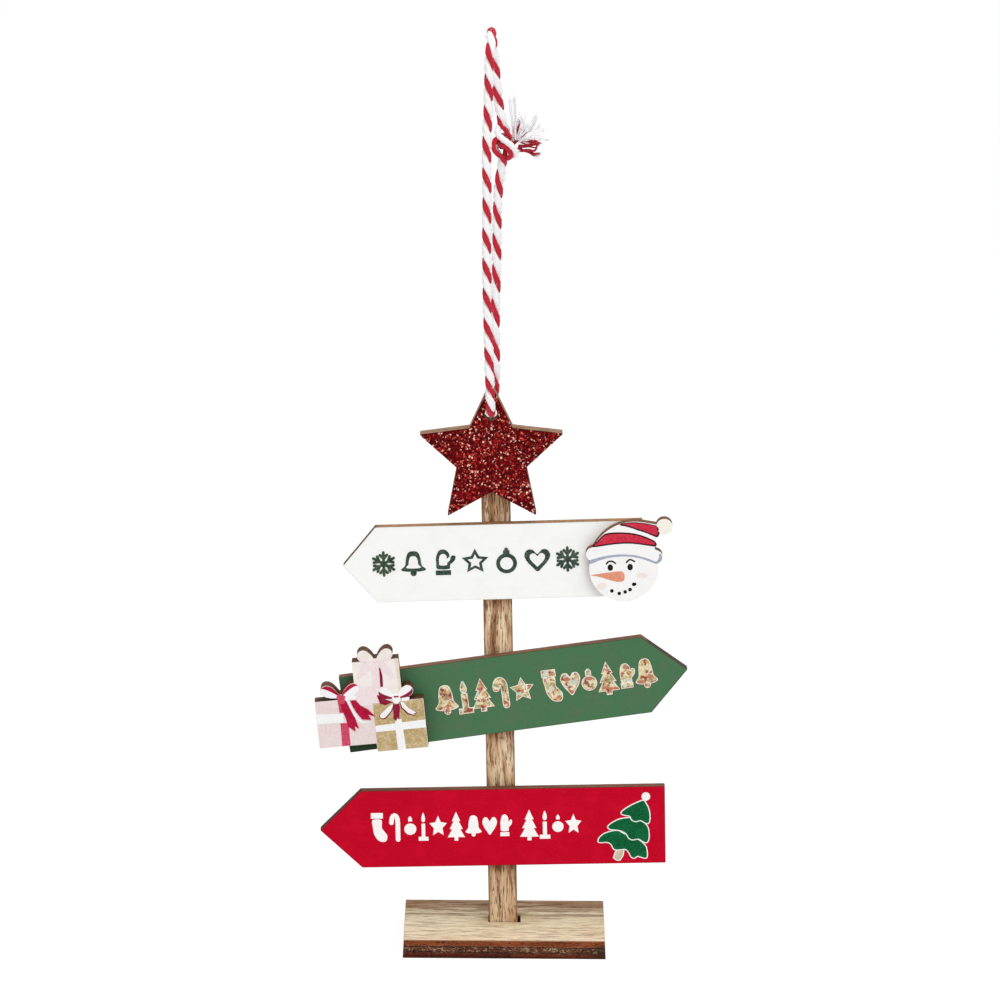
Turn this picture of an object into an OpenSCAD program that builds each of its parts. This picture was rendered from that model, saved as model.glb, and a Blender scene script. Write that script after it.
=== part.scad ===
// Christmas signpost ornament: a wooden post in a slotted base, with a star, three arrow boards,
// a snowman's head, a stack of presents and a hanging loop of twisted twine.
// Millimetres, +Z up, front towards -Y. The origin is under the middle of the base.

/* [Base] */
// Width of the base block at its foot
base_w = 41.1; // [34:0.1:60]
// Depth of the base block, front to back
base_d = 23.6; // [18:0.1:36]
// Thickness of the base block
base_h = 4; // [3:0.1:6]
// How far each cut end of the base leans in between foot and top
base_draft = 0.2; // [0:0.05:0.6]

/* [Post] */
// Width of the post
post_w = 5.8; // [4.5:0.1:8]
// Thickness of the post, front to back
post_t = 3.8; // [3:0.1:5]
// Length of the post along its own axis
post_len = 108.5; // [104:0.5:125]
// Lean of the post to the left, in degrees
post_lean = 1.35; // [0:0.05:2.5]
// Middle of the post's foot, to the right of the middle of the base
post_x = -0.15; // [-4:0.05:4]
// Middle of the post's foot, behind the middle of the base
post_y = 0.9; // [-3:0.1:3]
// Gap between the post and the left end of its slot
slot_gap_left = 0.1; // [0.1:0.05:0.6]
// Gap between the post and the right end of its slot
slot_gap_right = 0.5; // [0.1:0.05:0.8]
// Gap between the post and the slot, in front and behind
slot_gap_y = 0.2; // [0.1:0.05:0.5]

/* [Star] */
// Distance from the star's centre to its five points
star_r = 15.1; // [12:0.1:18]
// Distance from the star's centre to its five inner corners
star_inner_r = 7.3; // [6:0.1:8.5]
// Thickness of the star
star_t = 2.8; // [2:0.1:4]
// Height of the post's top above the star's centre
star_seat = 5.1; // [2:0.1:6]
// Star's centre to the left of the post's axis
star_left = 0.7; // [0:0.1:1.5]
// Turn of the star on the post, in degrees
star_turn = -0.45; // [-3:0.05:3]
// Diameter of the cord hole
star_hole_d = 2.7; // [2.7:0.1:3.2]
// Height of the cord hole above the star's centre
star_hole_up = 8.7; // [8.7:0.1:8.8]
// Rounding of the star's corners
star_round = 0.15; // [0.1:0.05:0.6]

/* [Boards] */
// Thickness of each arrow board
board_t = 2; // [1.5:0.1:3]
// Rounding of the boards' corners
board_round = 0.2; // [0.1:0.05:1.2]
// Length of the white board without its point
white_len = 53.4; // [48:0.1:60]
// Height of the white board
white_h = 15.7; // [14:0.1:18]
// Length of the white board's point
white_point = 6.7; // [4:0.1:10]
// Middle of the white board, to the right of the post's axis
white_shift = 2.6; // [-4:0.1:6]
// Middle of the white board below the star's centre
white_below = 22.1; // [21.5:0.1:24]
// Turn of the white board on the post, in degrees
white_turn = 0.7; // [-2:0.1:2]
// Length of the green board without its point
green_len = 61.4; // [54:0.1:68]
// Height of the green board
green_h = 16.1; // [14:0.1:18]
// Length of the green board's point
green_point = 8.4; // [5:0.1:12]
// Middle of the green board, to the right of the post's axis
green_shift = -0.8; // [-4:0.1:4]
// Middle of the green board below the middle of the white board
green_below = 27.9; // [26:0.1:28.5]
// Turn of the green board on the post, in degrees
green_turn = 7.1; // [4:0.1:9]
// Length of the red board without its point
red_len = 61.6; // [54:0.1:68]
// Height of the red board
red_h = 16.4; // [14:0.1:18]
// Length of the red board's point
red_point = 8.4; // [5:0.1:12]
// Middle of the red board, to the right of the post's axis
red_shift = 2.4; // [-4:0.1:6]
// Middle of the red board below the middle of the green board
red_below = 28.3; // [27.8:0.1:29.5]
// Turn of the red board on the post, in degrees
red_turn = 0.1; // [-2:0.1:2]

/* [Snowman] */
// Thickness of the snowman's head
head_t = 2; // [1.5:0.1:3]
// Radius of the face
face_r = 6.9; // [6:0.1:7.6]
// Centre of the face, in from the square end of the white board
head_in = 4; // [2:0.1:8]
// Centre of the face, below the middle of the white board
head_drop = 1.45; // [0:0.05:3]
// Radius along the middle of the hat's brim
brim_r = 15; // [13:0.1:18]
// Width of the hat's brim
brim_w = 2.85; // [2.2:0.05:3.4]
// Height of the middle of the brim above the face's centre
brim_up = 4; // [3.5:0.05:4.4]
// Half of the angle that the brim spans, in degrees
brim_half = 24.6; // [22:0.1:26]
// Turn of the brim, in degrees
brim_turn = -4.3; // [-8:0.1:0]
// Radius of the hat's crown
crown_r = 9.25; // [9:0.05:9.6]
// Radius of the pompom
pompom_r = 1.65; // [1.3:0.05:2]

/* [Presents] */
// Thickness of the stack of presents
gifts_t = 3; // [2:0.1:4]
// Gold present's lower left corner, in from the square end of the green board
gifts_in = 5.7; // [5:0.1:8]
// Gold present's lower left corner, above the lower edge of the green board
gifts_up = 0.4; // [0:0.05:1]
// Turn of the stack on the green board, in degrees
gifts_turn = -2.45; // [-5:0.05:0]
// Width of the gold present
gold_w = 10.3; // [9.6:0.1:11.5]
// Height of the gold present
gold_h = 10.4; // [10:0.1:11]
// Width of the pink present
pink_w = 11.9; // [11.3:0.1:13]
// Height of the pink present
pink_h = 9.9; // [9.2:0.1:10.5]
// Width of the pale present on top
top_w = 9.4; // [8.6:0.1:10]
// Height of the pale present on top
top_h = 9.5; // [9:0.1:10.5]

/* [Hidden] */
$fn = 48;

corner_steps = 6;    // facets round a corner of a board or of the star
arc_step = 5;        // degrees between points along a drawn arc
through = 1;         // overshoot of a cut past the faces that it opens

// Post: its front face carries the star and the boards
post_front = post_y - post_t / 2;
post_half_x = post_w / 2 / cos(post_lean);
slot_left = post_x - post_half_x - base_h * tan(post_lean) - slot_gap_left;
slot_right = post_x + post_half_x + slot_gap_right;
slot_d = post_t + 2 * slot_gap_y;

// Heights along the post, counted from the star down
star_at = post_len - star_seat;
white_at = star_at - white_below;
green_at = white_at - green_below;
red_at = green_at - red_below;
star_points = 5;

// Snowman's hat, from the centre of the face
crown_x = 2.3;           // centre of the crown's arc
crown_z = brim_up - 3.6;
crown_from = 154;        // the crown's arc starts inside the brim
crown_to = 76;
droop_x = 6.55;          // round end of the crown, under the pompom
droop_z = brim_up + 4;
droop_r = 0.95;
crown_foot_z = brim_up - 0.5;
pompom_x = 8.3;
pompom_z = brim_up + 4.4;

// Presents, from the gold present's lower left corner
pink_left = -11.55;
pink_low = 1.8;
top_left = -3.25;
top_lift = 0.6;          // how far the top present starts below the gold present's top
// Bows: [knot across, knot up, loop length, loop width, loop angle, knot radius]
top_bow = [1.5, -0.15, 3.9, 2.5, 27, 0.55];
pink_bow = [-6.2, 0.45, 4.4, 2.5, 30, 0.7];
gold_bow = [4.9, 0.6, 3.9, 2.4, 29, 0.7];
loop_step = 20;          // degrees between points round a bow's loop
loop_belly = 0.77;       // largest value of sin(t) * sin(t / 2), which the width is divided by

// Hanging twine: up from the knot, over the top, down in front of the star, back through its
// hole and up behind it to the knot again
cord_d = 1.9;
cord_sides = 8;
cord_route = [
    [-1.7, 1.6, 169], [-1.7, 1.6, 170.5], [-2.4, 1.6, 174.5], [-3, 1.6, 180], [-3.5, 1.6, 185],
    [-3.7, 1.1, 187], [-3.8, -0.4, 188.5], [-3.8, -2.4, 189], [-3.9, -4.4, 188.5],
    [-4, -5.9, 187], [-4.2, -6.4, 185], [-4.3, -6.4, 179.5], [-4.4, -6.4, 174],
    [-4.6, -6.4, 168.5], [-4.6, -6.4, 163], [-4.5, -6.4, 157.5], [-4.5, -6.4, 152],
    [-4.5, -6.4, 146.5], [-4.4, -6.4, 141], [-4.3, -6.4, 135.5], [-4.1, -6.4, 130],
    [-3.9, -6.4, 124], [-3.7, -6.4, 119], [-3.6, -6.4, 116.1], [-3.5, -5.9, 114.1],
    [-3.5, -4.4, 112.6], [-3.5, -2.4, 112.1], [-3.4, -0.4, 112.6], [-3.1, 1.1, 114.1],
    [-2.7, 1.6, 116.1], [-2.6, 1.6, 121], [-2.7, 1.6, 126.5], [-2.7, 1.6, 132],
    [-2.6, 1.6, 137.5], [-2.5, 1.6, 143], [-2.5, 1.6, 148.5], [-2.4, 1.6, 154],
    [-2.1, 1.6, 158.5], [-1.6, 1.6, 161.5], [-1.5, 1.6, 163]];
knot_x = -0.6;
knot_end_r = 2.1;
knot_belly = 0.5;        // how far the knot bulges between its ends
tassel_tilt = 50;        // angle of the tassel from upright, to the right
tassel_len = 9;
tassel_root_r = 0.5;
tassel_tip_r = 3.6;

// Points along an arc, both ends included
function arc_points(centre, radius, from, to) =
    let (steps = ceil(abs(to - from) / arc_step))
    [for (i = [0 : steps])
        let (a = from + (to - from) * i / steps)
        centre + radius * [cos(a), sin(a)]];

function unit(v) = v / norm(v);

// Signed difference of two angles, between -180 and 180
function turn(from, to) = to - from - 360 * round((to - from) / 360);

// The corner at b, between a and c, as an arc of the given radius
function corner(a, b, c, radius) =
    let (u = unit(a - b),
         w = unit(c - b),
         half = acos(u * w) / 2,
         centre = b + unit(u + w) * radius / sin(half),
         start = b + u * radius / tan(half) - centre,
         end = b + w * radius / tan(half) - centre,
         from = atan2(start.y, start.x),
         sweep = turn(from, atan2(end.y, end.x)))
    [for (i = [0 : corner_steps])
        let (angle = from + sweep * i / corner_steps)
        centre + radius * [cos(angle), sin(angle)]];

// An outline with every corner rounded
function rounded(points, radius) =
    let (n = len(points))
    [for (i = [0 : n - 1])
        each corner(points[(i + n - 1) % n], points[i], points[(i + 1) % n], radius)];

// Plates whose outlines are drawn in the front view, from their back face towards the viewer
module plates(back, thickness)
    for (i = [0 : $children - 1])
        translate([0, back, 0]) rotate([90, 0, 0]) linear_extrude(thickness) children(i);

// Place on the leaning post, at a height along its axis
module on_post(height, degrees)
    translate([post_x, 0, 0]) rotate([0, -post_lean, 0])
    translate([0, 0, height]) rotate([0, -degrees, 0]) children();

// Arrow board about the middle of its straight part, with its point to the right
module arrow(length, height, point)
    polygon(rounded([[-length / 2, -height / 2], [length / 2, -height / 2],
                     [length / 2 + point, 0], [length / 2, height / 2],
                     [-length / 2, height / 2]], board_round));

// Places at the middles of the two boards that carry a cut-out
module on_white_board()
    on_post(white_at, white_turn) translate([white_shift, 0, 0]) children();

module on_green_board()
    on_post(green_at, green_turn) translate([green_shift, 0, 0]) children();

module base_block() {
    color("tan")
    difference() {
        plates(base_d / 2, base_d)
            polygon([[-base_w / 2, 0], [base_w / 2, 0],
                     [base_w / 2 - base_draft, base_h], [-base_w / 2 + base_draft, base_h]]);
        translate([slot_left, post_y - slot_d / 2, -through])
            cube([slot_right - slot_left, slot_d, base_h + 2 * through]);
    }
}

// The post leans in its slot, and its foot is cut level with the underside of the base
module post() {
    top_left = [-post_w / 2, post_len];
    top_right = [post_w / 2, post_len];
    lean = [[cos(post_lean), -sin(post_lean)], [sin(post_lean), cos(post_lean)]];
    color("burlywood")
    plates(post_y + post_t / 2, post_t)
        polygon([[post_x - post_half_x, 0], [post_x + post_half_x, 0],
                 [post_x, 0] + lean * top_right, [post_x, 0] + lean * top_left]);
}

module star() {
    half_turn = 180 / star_points;
    corners = [for (i = [0 : 2 * star_points - 1])
        (i % 2 == 0 ? star_r : star_inner_r) * [sin(i * half_turn), cos(i * half_turn)]];
    color("darkred")
    on_post(star_at, star_turn) translate([-star_left, 0, 0])
        plates(post_front, star_t)
        difference() {
            polygon(rounded(corners, star_round));
            translate([0, star_hole_up]) circle(d = star_hole_d);
        }
}

module white_sign() {
    color("whitesmoke")
    on_white_board() plates(post_front, board_t)
        mirror([1, 0]) arrow(white_len, white_h, white_point);
}

module green_sign() {
    color("seagreen")
    on_green_board() plates(post_front, board_t) arrow(green_len, green_h, green_point);
}

module red_sign() {
    color("crimson")
    on_post(red_at, red_turn) translate([red_shift, 0, 0]) plates(post_front, board_t)
        mirror([1, 0]) arrow(red_len, red_h, red_point);
}

// Brim of the hat: a bent band with round ends, as one outline
module brim() {
    middle = [0, brim_up - brim_r];
    left = 90 + brim_half;
    right = 90 - brim_half;
    rotate(brim_turn)
        polygon(concat(
            arc_points(middle, brim_r + brim_w / 2, right, left),
            arc_points(middle + brim_r * [cos(left), sin(left)], brim_w / 2, left, left + 180),
            arc_points(middle, brim_r - brim_w / 2, left, right),
            arc_points(middle + brim_r * [cos(right), sin(right)], brim_w / 2, right - 180, right)));
}

// Crown of the hat: one arc up from the brim, over to a round drooping end
module crown()
    polygon(concat(
        arc_points([crown_x, crown_z], crown_r, crown_from, crown_to),
        arc_points([droop_x, droop_z], droop_r, 80, -25),
        [[droop_x, brim_up + 2], [droop_x - 0.3, crown_foot_z], [1 - droop_x, crown_foot_z]]));

module snowman_head() {
    color("white")
    on_white_board() translate([white_len / 2 - head_in, 0, -head_drop])
        plates(post_front - board_t, head_t) {
            circle(r = face_r);
            brim();
            crown();
            translate([pompom_x, pompom_z]) circle(r = pompom_r);
        }
}

// One loop of a bow, pointed at the knot and round at its far end
module bow_loop(length, width)
    polygon([for (t = [loop_step : loop_step : 360])
        [length * (1 - cos(t)) / 2, width / 2 * sin(t) * sin(t / 2) / loop_belly]]);

// A bow on a present's top edge
module bow(sizes, top_edge)
    translate([sizes[0], 0, top_edge + sizes[1]])
        plates(post_front - board_t, gifts_t) {
            rotate(sizes[4]) bow_loop(sizes[2], sizes[3]);
            rotate(180 - sizes[4]) bow_loop(sizes[2], sizes[3]);
            circle(r = sizes[5]);
        }

module gift_stack() {
    pink_top = pink_low + pink_h;
    top_low = gold_h - top_lift;
    color("rosybrown")
    on_green_board() translate([gifts_in - green_len / 2, 0, gifts_up - green_h / 2])
        rotate([0, -gifts_turn, 0]) {
            plates(post_front - board_t, gifts_t) {
                square([gold_w, gold_h]);
                translate([pink_left, pink_low]) square([pink_w, pink_h]);
                translate([top_left, top_low]) square([top_w, top_h]);
            }
            bow(gold_bow, gold_h);
            bow(pink_bow, pink_top);
            bow(top_bow, top_low + top_h);
        }
}

// Direction of the cord at a point of its route, upright where it meets the knot
function cord_way(i) =
    let (last = len(cord_route) - 1)
    i == 0 || i == last ? [0, 0, 1] : unit(cord_route[i + 1] - cord_route[i - 1]);

// Ring of points round the route; the loop hangs in the Y-Z plane, so X is its sideways direction
function cord_ring(i) =
    let (way = cord_way(i),
         side = unit([1, 0, 0] - way.x * way),
         out = cross(way, side))
    [for (k = [0 : cord_sides - 1])
        let (a = 360 * k / cord_sides)
        cord_route[i] + cord_d / 2 * (cos(a) * side + sin(a) * out)];

module hanging_cord() {
    rings = len(cord_route);
    points = [for (i = [0 : rings - 1]) each cord_ring(i)];
    walls = [for (i = [0 : rings - 2], k = [0 : cord_sides - 1])
        let (a = i * cord_sides + k,
             b = i * cord_sides + (k + 1) % cord_sides,
             c = a + cord_sides,
             d = b + cord_sides)
        each [[a, b, c], [b, d, c]]];
    start_cap = [for (k = [1 : cord_sides - 2]) [0, k + 1, k]];
    top = (rings - 1) * cord_sides;
    end_cap = [for (k = [1 : cord_sides - 2]) [top, top + k, top + k + 1]];
    color("firebrick")
    polyhedron(points, concat(walls, start_cap, end_cap));
}

// Knot between the two ends of the cord, flat where they meet it
module knot_solid() {
    low = cord_route[len(cord_route) - 1].z;
    tall = cord_route[0].z - low;
    bulge_r = (pow(tall / 2, 2) + pow(knot_belly, 2)) / (2 * knot_belly);
    bulge_half = asin(tall / 2 / bulge_r);
    translate([knot_x, cord_route[0].y, low])
        rotate_extrude()
        polygon(concat([[0, 0]],
            arc_points([knot_end_r + knot_belly - bulge_r, tall / 2], bulge_r, -bulge_half, bulge_half),
            [[0, tall]]));
}

module cord_knot() {
    color("lightpink")
    knot_solid();
}

// Frayed ends of the cord, spread out of the knot's right side
module cord_tassel() {
    knot_middle = (cord_route[0].z + cord_route[len(cord_route) - 1].z) / 2;
    color("mistyrose")
    difference() {
        translate([knot_x, cord_route[0].y, knot_middle]) rotate([0, tassel_tilt, 0])
            cylinder(h = tassel_len, r1 = tassel_root_r, r2 = tassel_tip_r);
        knot_solid();
    }
}

base_block();
post();
star();
white_sign();
green_sign();
red_sign();
snowman_head();
gift_stack();
hanging_cord();
cord_knot();
cord_tassel();
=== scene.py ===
# Christmas signpost ornament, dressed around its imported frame.
# Settings are in millimetres and degrees.
import math
import random

import bmesh
import bpy
from mathutils import Matrix, Vector


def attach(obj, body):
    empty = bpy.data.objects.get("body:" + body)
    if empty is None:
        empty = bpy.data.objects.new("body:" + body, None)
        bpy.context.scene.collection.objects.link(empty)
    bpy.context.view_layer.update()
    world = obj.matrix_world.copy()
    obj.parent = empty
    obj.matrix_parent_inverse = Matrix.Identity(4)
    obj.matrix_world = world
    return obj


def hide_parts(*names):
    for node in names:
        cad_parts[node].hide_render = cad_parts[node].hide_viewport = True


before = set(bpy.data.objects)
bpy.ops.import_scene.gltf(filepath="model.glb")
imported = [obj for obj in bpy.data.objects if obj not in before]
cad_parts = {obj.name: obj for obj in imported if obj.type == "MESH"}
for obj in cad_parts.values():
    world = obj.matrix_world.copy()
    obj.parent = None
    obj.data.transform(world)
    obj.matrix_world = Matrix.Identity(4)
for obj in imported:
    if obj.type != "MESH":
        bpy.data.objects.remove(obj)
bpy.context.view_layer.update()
mm = 0.001
sideways, deeper, upright = Vector((1, 0, 0)), Vector((0, 1, 0)), Vector((0, 0, 1))


def tint(red, green, blue):  # a colour as it is seen, 0 to 255
    light = [c / 255 for c in (red, green, blue)]
    return (*[c / 12.92 if c < 0.04 else ((c + 0.055) / 1.055) ** 2.4 for c in light], 1)


# Camera, at the photograph's angle
camera = {
    "target": (-1.53, 0, 93.3),
    "distance": 1180,
    "elevation": 16.2,
    "roll": 0.42,
    "lens": 212.4,
}


def makeCamera():
    tilt, roll = math.radians(camera["elevation"]), math.radians(camera["roll"])
    ahead = Vector((0, math.cos(tilt), -math.sin(tilt)))
    above = Vector((0, math.sin(tilt), math.cos(tilt)))
    right = math.cos(roll) * sideways + math.sin(roll) * above
    up = math.cos(roll) * above - math.sin(roll) * sideways
    lens = bpy.data.cameras.new("camera")
    lens.lens = camera["lens"]
    seat = bpy.data.objects.new("camera", lens)
    place = (Vector(camera["target"]) - ahead * camera["distance"]) * mm
    facing = Matrix([right, up, -ahead]).transposed().to_4x4()
    seat.matrix_world = Matrix.Translation(place) @ facing
    bpy.context.scene.collection.objects.link(seat)
    bpy.context.scene.camera = seat


# Shader maths: a wire is an output socket that can be added, multiplied and compared
class Wire:
    def __init__(self, finish, socket):
        self.finish, self.socket = finish, socket

    def sum(self, operation, *terms):
        return self.finish.node("ShaderNodeMath", {"operation": operation}, terms)

    def __add__(self, other):
        return self.sum("ADD", self, other)

    def __radd__(self, other):
        return self.sum("ADD", other, self)

    def __sub__(self, other):
        return self.sum("SUBTRACT", self, other)

    def __rsub__(self, other):
        return self.sum("SUBTRACT", other, self)

    def __mul__(self, other):
        return self.sum("MULTIPLY", self, other)

    def __rmul__(self, other):
        return self.sum("MULTIPLY", other, self)

    def __truediv__(self, other):
        return self.sum("DIVIDE", self, other)

    def step(self, start, end):  # smooth rise from 0 at start to 1 at end
        settings = {"interpolation_type": "SMOOTHSTEP"}
        return self.finish.node("ShaderNodeMapRange", settings, [self, start, end, 0.0, 1.0])


class Finish:  # a material and its nodes
    def __init__(self, name, **constants):
        self.material = bpy.data.materials.new(name)
        self.material.use_nodes = True
        self.tree = self.material.node_tree
        self.shader = self.tree.nodes["Principled BSDF"]
        for socket, value in constants.items():
            self.shader.inputs[socket.replace("_", " ")].default_value = value

    def node(self, kind, settings=None, values=(), output=0):
        made = self.tree.nodes.new(kind)
        for key, value in (settings or {}).items():
            if key == "stops":
                stops = made.color_ramp.elements
                while len(stops) < len(value):
                    stops.new(1)
                for stop, (position, colour) in zip(stops, value):
                    stop.position, stop.color = position, colour
            else:
                setattr(made, key, value)
        for key, value in values.items() if isinstance(values, dict) else enumerate(values):
            if isinstance(value, Wire):
                self.tree.links.new(value.socket, made.inputs[key])
            else:
                made.inputs[key].default_value = value
        return Wire(self, made.outputs[output])

    def place(self, *scale):  # object coordinates in millimetres, times a scale for each axis
        spot = self.node("ShaderNodeTexCoord", output="Object")
        scale = [s * 1000 for s in (scale or (1, 1, 1))]
        return self.node("ShaderNodeVectorMath", {"operation": "MULTIPLY"}, [spot, scale])

    def axis(self, spot, name):
        return self.node("ShaderNodeSeparateXYZ", {}, [spot], "XYZ".index(name))

    def axes(self):
        spot = self.place()
        return [self.axis(spot, name) for name in "XYZ"]

    def point(self, across, depth, up):
        return self.node("ShaderNodeCombineXYZ", {}, [across, depth, up])

    def noise(self, spot, scale=1.0, detail=2.0, roughness=0.5, distortion=0.0):
        values = {"Vector": spot, "Scale": scale, "Detail": detail,
                  "Roughness": roughness, "Distortion": distortion}
        return self.node("ShaderNodeTexNoise", {}, values)

    def ramp(self, value, *stops):
        return self.node("ShaderNodeValToRGB", {"stops": stops}, [value])

    def mix(self, amount, under, over):
        return self.node("ShaderNodeMix", {"data_type": "RGBA"}, {0: amount, 6: under, 7: over}, 2)

    def coats(self, colour, *coats):  # colours over each other, each with its share
        for share, over in coats:
            colour = self.mix(share, colour, over)
        return colour

    def bump(self, height, distance, strength=1.0):
        return self.node("ShaderNodeBump", {}, {"Strength": strength, "Distance": distance * mm,
                                                "Height": height})

    def feed(self, **links):
        for socket, wire in links.items():
            self.tree.links.new(wire.socket, self.shader.inputs[socket.replace("_", " ")])
        return self.material


# Studio: a white surround, one soft key light and a weaker fill
studio = {
    "ambient": 0.45,
    "keyPlace": (380, -760, 700),
    "keySize": 520,
    "keyPower": 2.4,
    "fillPlace": (-620, -760, 260),
    "fillSize": 600,
    "fillPower": 0.9,
    "topPlace": (60, -160, 1150),
    "topSize": 700,
    "topPower": 5.8,
    "floorSize": 9000,
    "floorGlow": 0.8,   # how much of the floor is plain white to the camera
    "floorWhite": 1.1,
}


def whiteRays(tree):  # 1 for rays that look at the surround, 0 for those that light the object
    path = tree.nodes.new("ShaderNodeLightPath")
    seen = path.outputs["Is Camera Ray"]
    for name in ("Is Glossy Ray", "Is Transmission Ray"):
        either = tree.nodes.new("ShaderNodeMath")
        either.operation = "MAXIMUM"
        tree.links.new(seen, either.inputs[0])
        tree.links.new(path.outputs[name], either.inputs[1])
        seen = either.outputs[0]
    return seen


def addLamp(name, place, size, power):
    lamp = bpy.data.lights.new(name, "AREA")
    lamp.size, lamp.energy = size * mm, power
    seat = bpy.data.objects.new(name, lamp)
    spot = Vector(place) * mm
    aim = Vector(camera["target"]) * mm - spot
    facing = aim.to_track_quat("-Z", "Y").to_matrix().to_4x4()
    seat.matrix_world = Matrix.Translation(spot) @ facing
    bpy.context.scene.collection.objects.link(seat)


def makeStudio():
    world = bpy.data.worlds.new("surround")
    world.use_nodes = True
    bpy.context.scene.world = world
    tree = world.node_tree
    sky = tree.nodes["Background"]
    sky.inputs["Color"].default_value = (1, 1, 1, 1)
    level = tree.nodes.new("ShaderNodeMapRange")
    level.inputs["To Min"].default_value = studio["ambient"]
    level.inputs["To Max"].default_value = 1
    tree.links.new(whiteRays(tree), level.inputs["Value"])
    tree.links.new(level.outputs[0], sky.inputs["Strength"])
    for lamp in ("key", "fill", "top"):
        addLamp(lamp + "Light", *[studio[lamp + part] for part in ("Place", "Size", "Power")])

    slab = bmesh.new()
    bmesh.ops.create_grid(slab, x_segments=1, y_segments=1, size=studio["floorSize"] / 2 * mm)
    mesh = bpy.data.meshes.new("floor")
    slab.to_mesh(mesh)
    slab.free()
    floor = bpy.data.objects.new("floor", mesh)
    bpy.context.scene.collection.objects.link(floor)
    cloth = Finish("floorWhite", Base_Color=(1, 1, 1, 1), Roughness=0.9, Specular_IOR_Level=0)
    glow = cloth.node("ShaderNodeEmission", {}, [(1, 1, 1, 1), studio["floorWhite"]])
    seen = Wire(cloth, whiteRays(cloth.tree)) * studio["floorGlow"]
    plain = Wire(cloth, cloth.shader.outputs[0])
    both = cloth.node("ShaderNodeMixShader", {}, [seen, plain, glow])
    cloth.tree.links.new(both.socket, cloth.tree.nodes["Material Output"].inputs["Surface"])
    mesh.materials.append(cloth.material)


def finishPiece(name, shape, materials, replaced=()):
    mesh = bpy.data.meshes.new(name)
    shape.to_mesh(mesh)
    shape.free()
    return dress(bpy.data.objects.new(name, mesh), materials, replaced)


def finishDrawn(name, shape, materials, replaced=()):  # a shape drawn in millimetres
    bmesh.ops.recalc_face_normals(shape, faces=shape.faces)
    bmesh.ops.scale(shape, vec=(mm, mm, mm), verts=shape.verts)
    return finishPiece(name, shape, materials, replaced)


def dress(piece, materials, replaced=()):
    bpy.context.scene.collection.objects.link(piece)
    for material in materials:
        piece.data.materials.append(material)
    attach(piece, "root")
    if replaced:
        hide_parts(*replaced)
    print("piece", piece.name, len(piece.data.polygons), "faces")
    return piece


# Places on the post and the boards, as the frame has them
post = {"x": -0.15, "y": 0.9, "thick": 3.8, "lean": 1.35,
        # heights under which a board or the star shades the strip, and how far down that shade is
        # painted
        "shaded": ((16.9, 3.6), (45.3, 3.6), (73.4, 3.6), (96, 9))}
front = post["y"] - post["thick"] / 2  # the plane that the boards are glued to
boards = {
    # way is 1 where the point is to the right; burnt says how much the straight sides and
    # the point's sides are burnt
    "white": {"at": 81.3, "turn": 0.7, "shift": 2.6, "length": 53.4, "height": 15.7, "point": 6.7,
              "way": -1, "burnt": (0.1, 0.16)},
    "green": {"at": 53.4, "turn": 7.1, "shift": -0.8, "length": 61.4, "height": 16.1, "point": 8.4,
              "way": 1, "burnt": (0.3, 0.6)},
    "red": {"at": 25.1, "turn": 0.1, "shift": 2.4, "length": 61.6, "height": 16.4, "point": 8.4,
            "way": -1, "burnt": (0.35, 0.55)},
}
starPlace = {"at": 103.4, "turn": -0.45, "left": 0.7, "thick": 2.8, "radius": 15.1, "inner": 7.3,
             "holeUp": 8.7, "hole": 2.7}
boardThick, headThick, giftThick = 2, 2, 3


def tilt(degrees):
    return Matrix.Rotation(-math.radians(degrees), 4, "Y")


def onPost(height, degrees):
    return (Matrix.Translation((post["x"], 0, 0)) @ tilt(post["lean"])
            @ Matrix.Translation((0, 0, height)) @ tilt(degrees))


def onBoard(name):  # from the middle of a board's straight part
    board = boards[name]
    return onPost(board["at"], board["turn"]) @ Matrix.Translation((board["shift"], 0, 0))


# Wooden pieces keep the frame's shapes, with their cut edges broken
wooden = {
    "weld": 0.001,      # points nearer than this are one
    "flat": 0.5,        # faces that meet at less than this angle are one
    "sharp": 60,        # edges above this angle are broken
    "facing": 0.9,      # how far a normal points along an axis on a face of that side
    "blockEdge": 0.12,  # widths of the broken edges
    "boardEdge": 0.07,
    "cutoutEdge": 0.08,
}


def woodCopy(name, node, edge, choose, materials):
    shape = bmesh.new()
    shape.from_mesh(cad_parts[node].data)
    bmesh.ops.remove_doubles(shape, verts=shape.verts, dist=wooden["weld"] * mm)
    bmesh.ops.dissolve_limit(shape, angle_limit=math.radians(wooden["flat"]),
                             verts=shape.verts, edges=shape.edges)
    sharp = [e for e in shape.edges if e.calc_face_angle(0) > math.radians(wooden["sharp"])]
    bmesh.ops.bevel(shape, geom=sharp, offset=edge * mm, offset_type="OFFSET", segments=2,
                    profile=0.5, affect="EDGES", material=-1, clamp_overlap=True)
    for face in shape.faces:
        face.material_index = choose(face)
        face.smooth = False
    return finishPiece(name, shape, materials, [node])


def plateSide(face):  # front print, bare back, cut edge
    if face.normal.y < -wooden["facing"]:
        return 0
    return 1 if face.normal.y > wooden["facing"] else 2


def baseSide(face):  # veneer above and below, cut edge round it and in the slot
    return 0 if abs(face.normal.z) > wooden["facing"] else 1


def postSide(face):  # front and back, cut edge at the sides and ends
    return 0 if abs(face.normal.y) > wooden["facing"] else 1


veneer = {
    "pale": tint(248, 232, 200),
    "mid": tint(232, 210, 170),
    "brown": tint(142, 100, 62),
    "streak": tint(110, 76, 46),
    "pore": tint(150, 116, 82),
}


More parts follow.
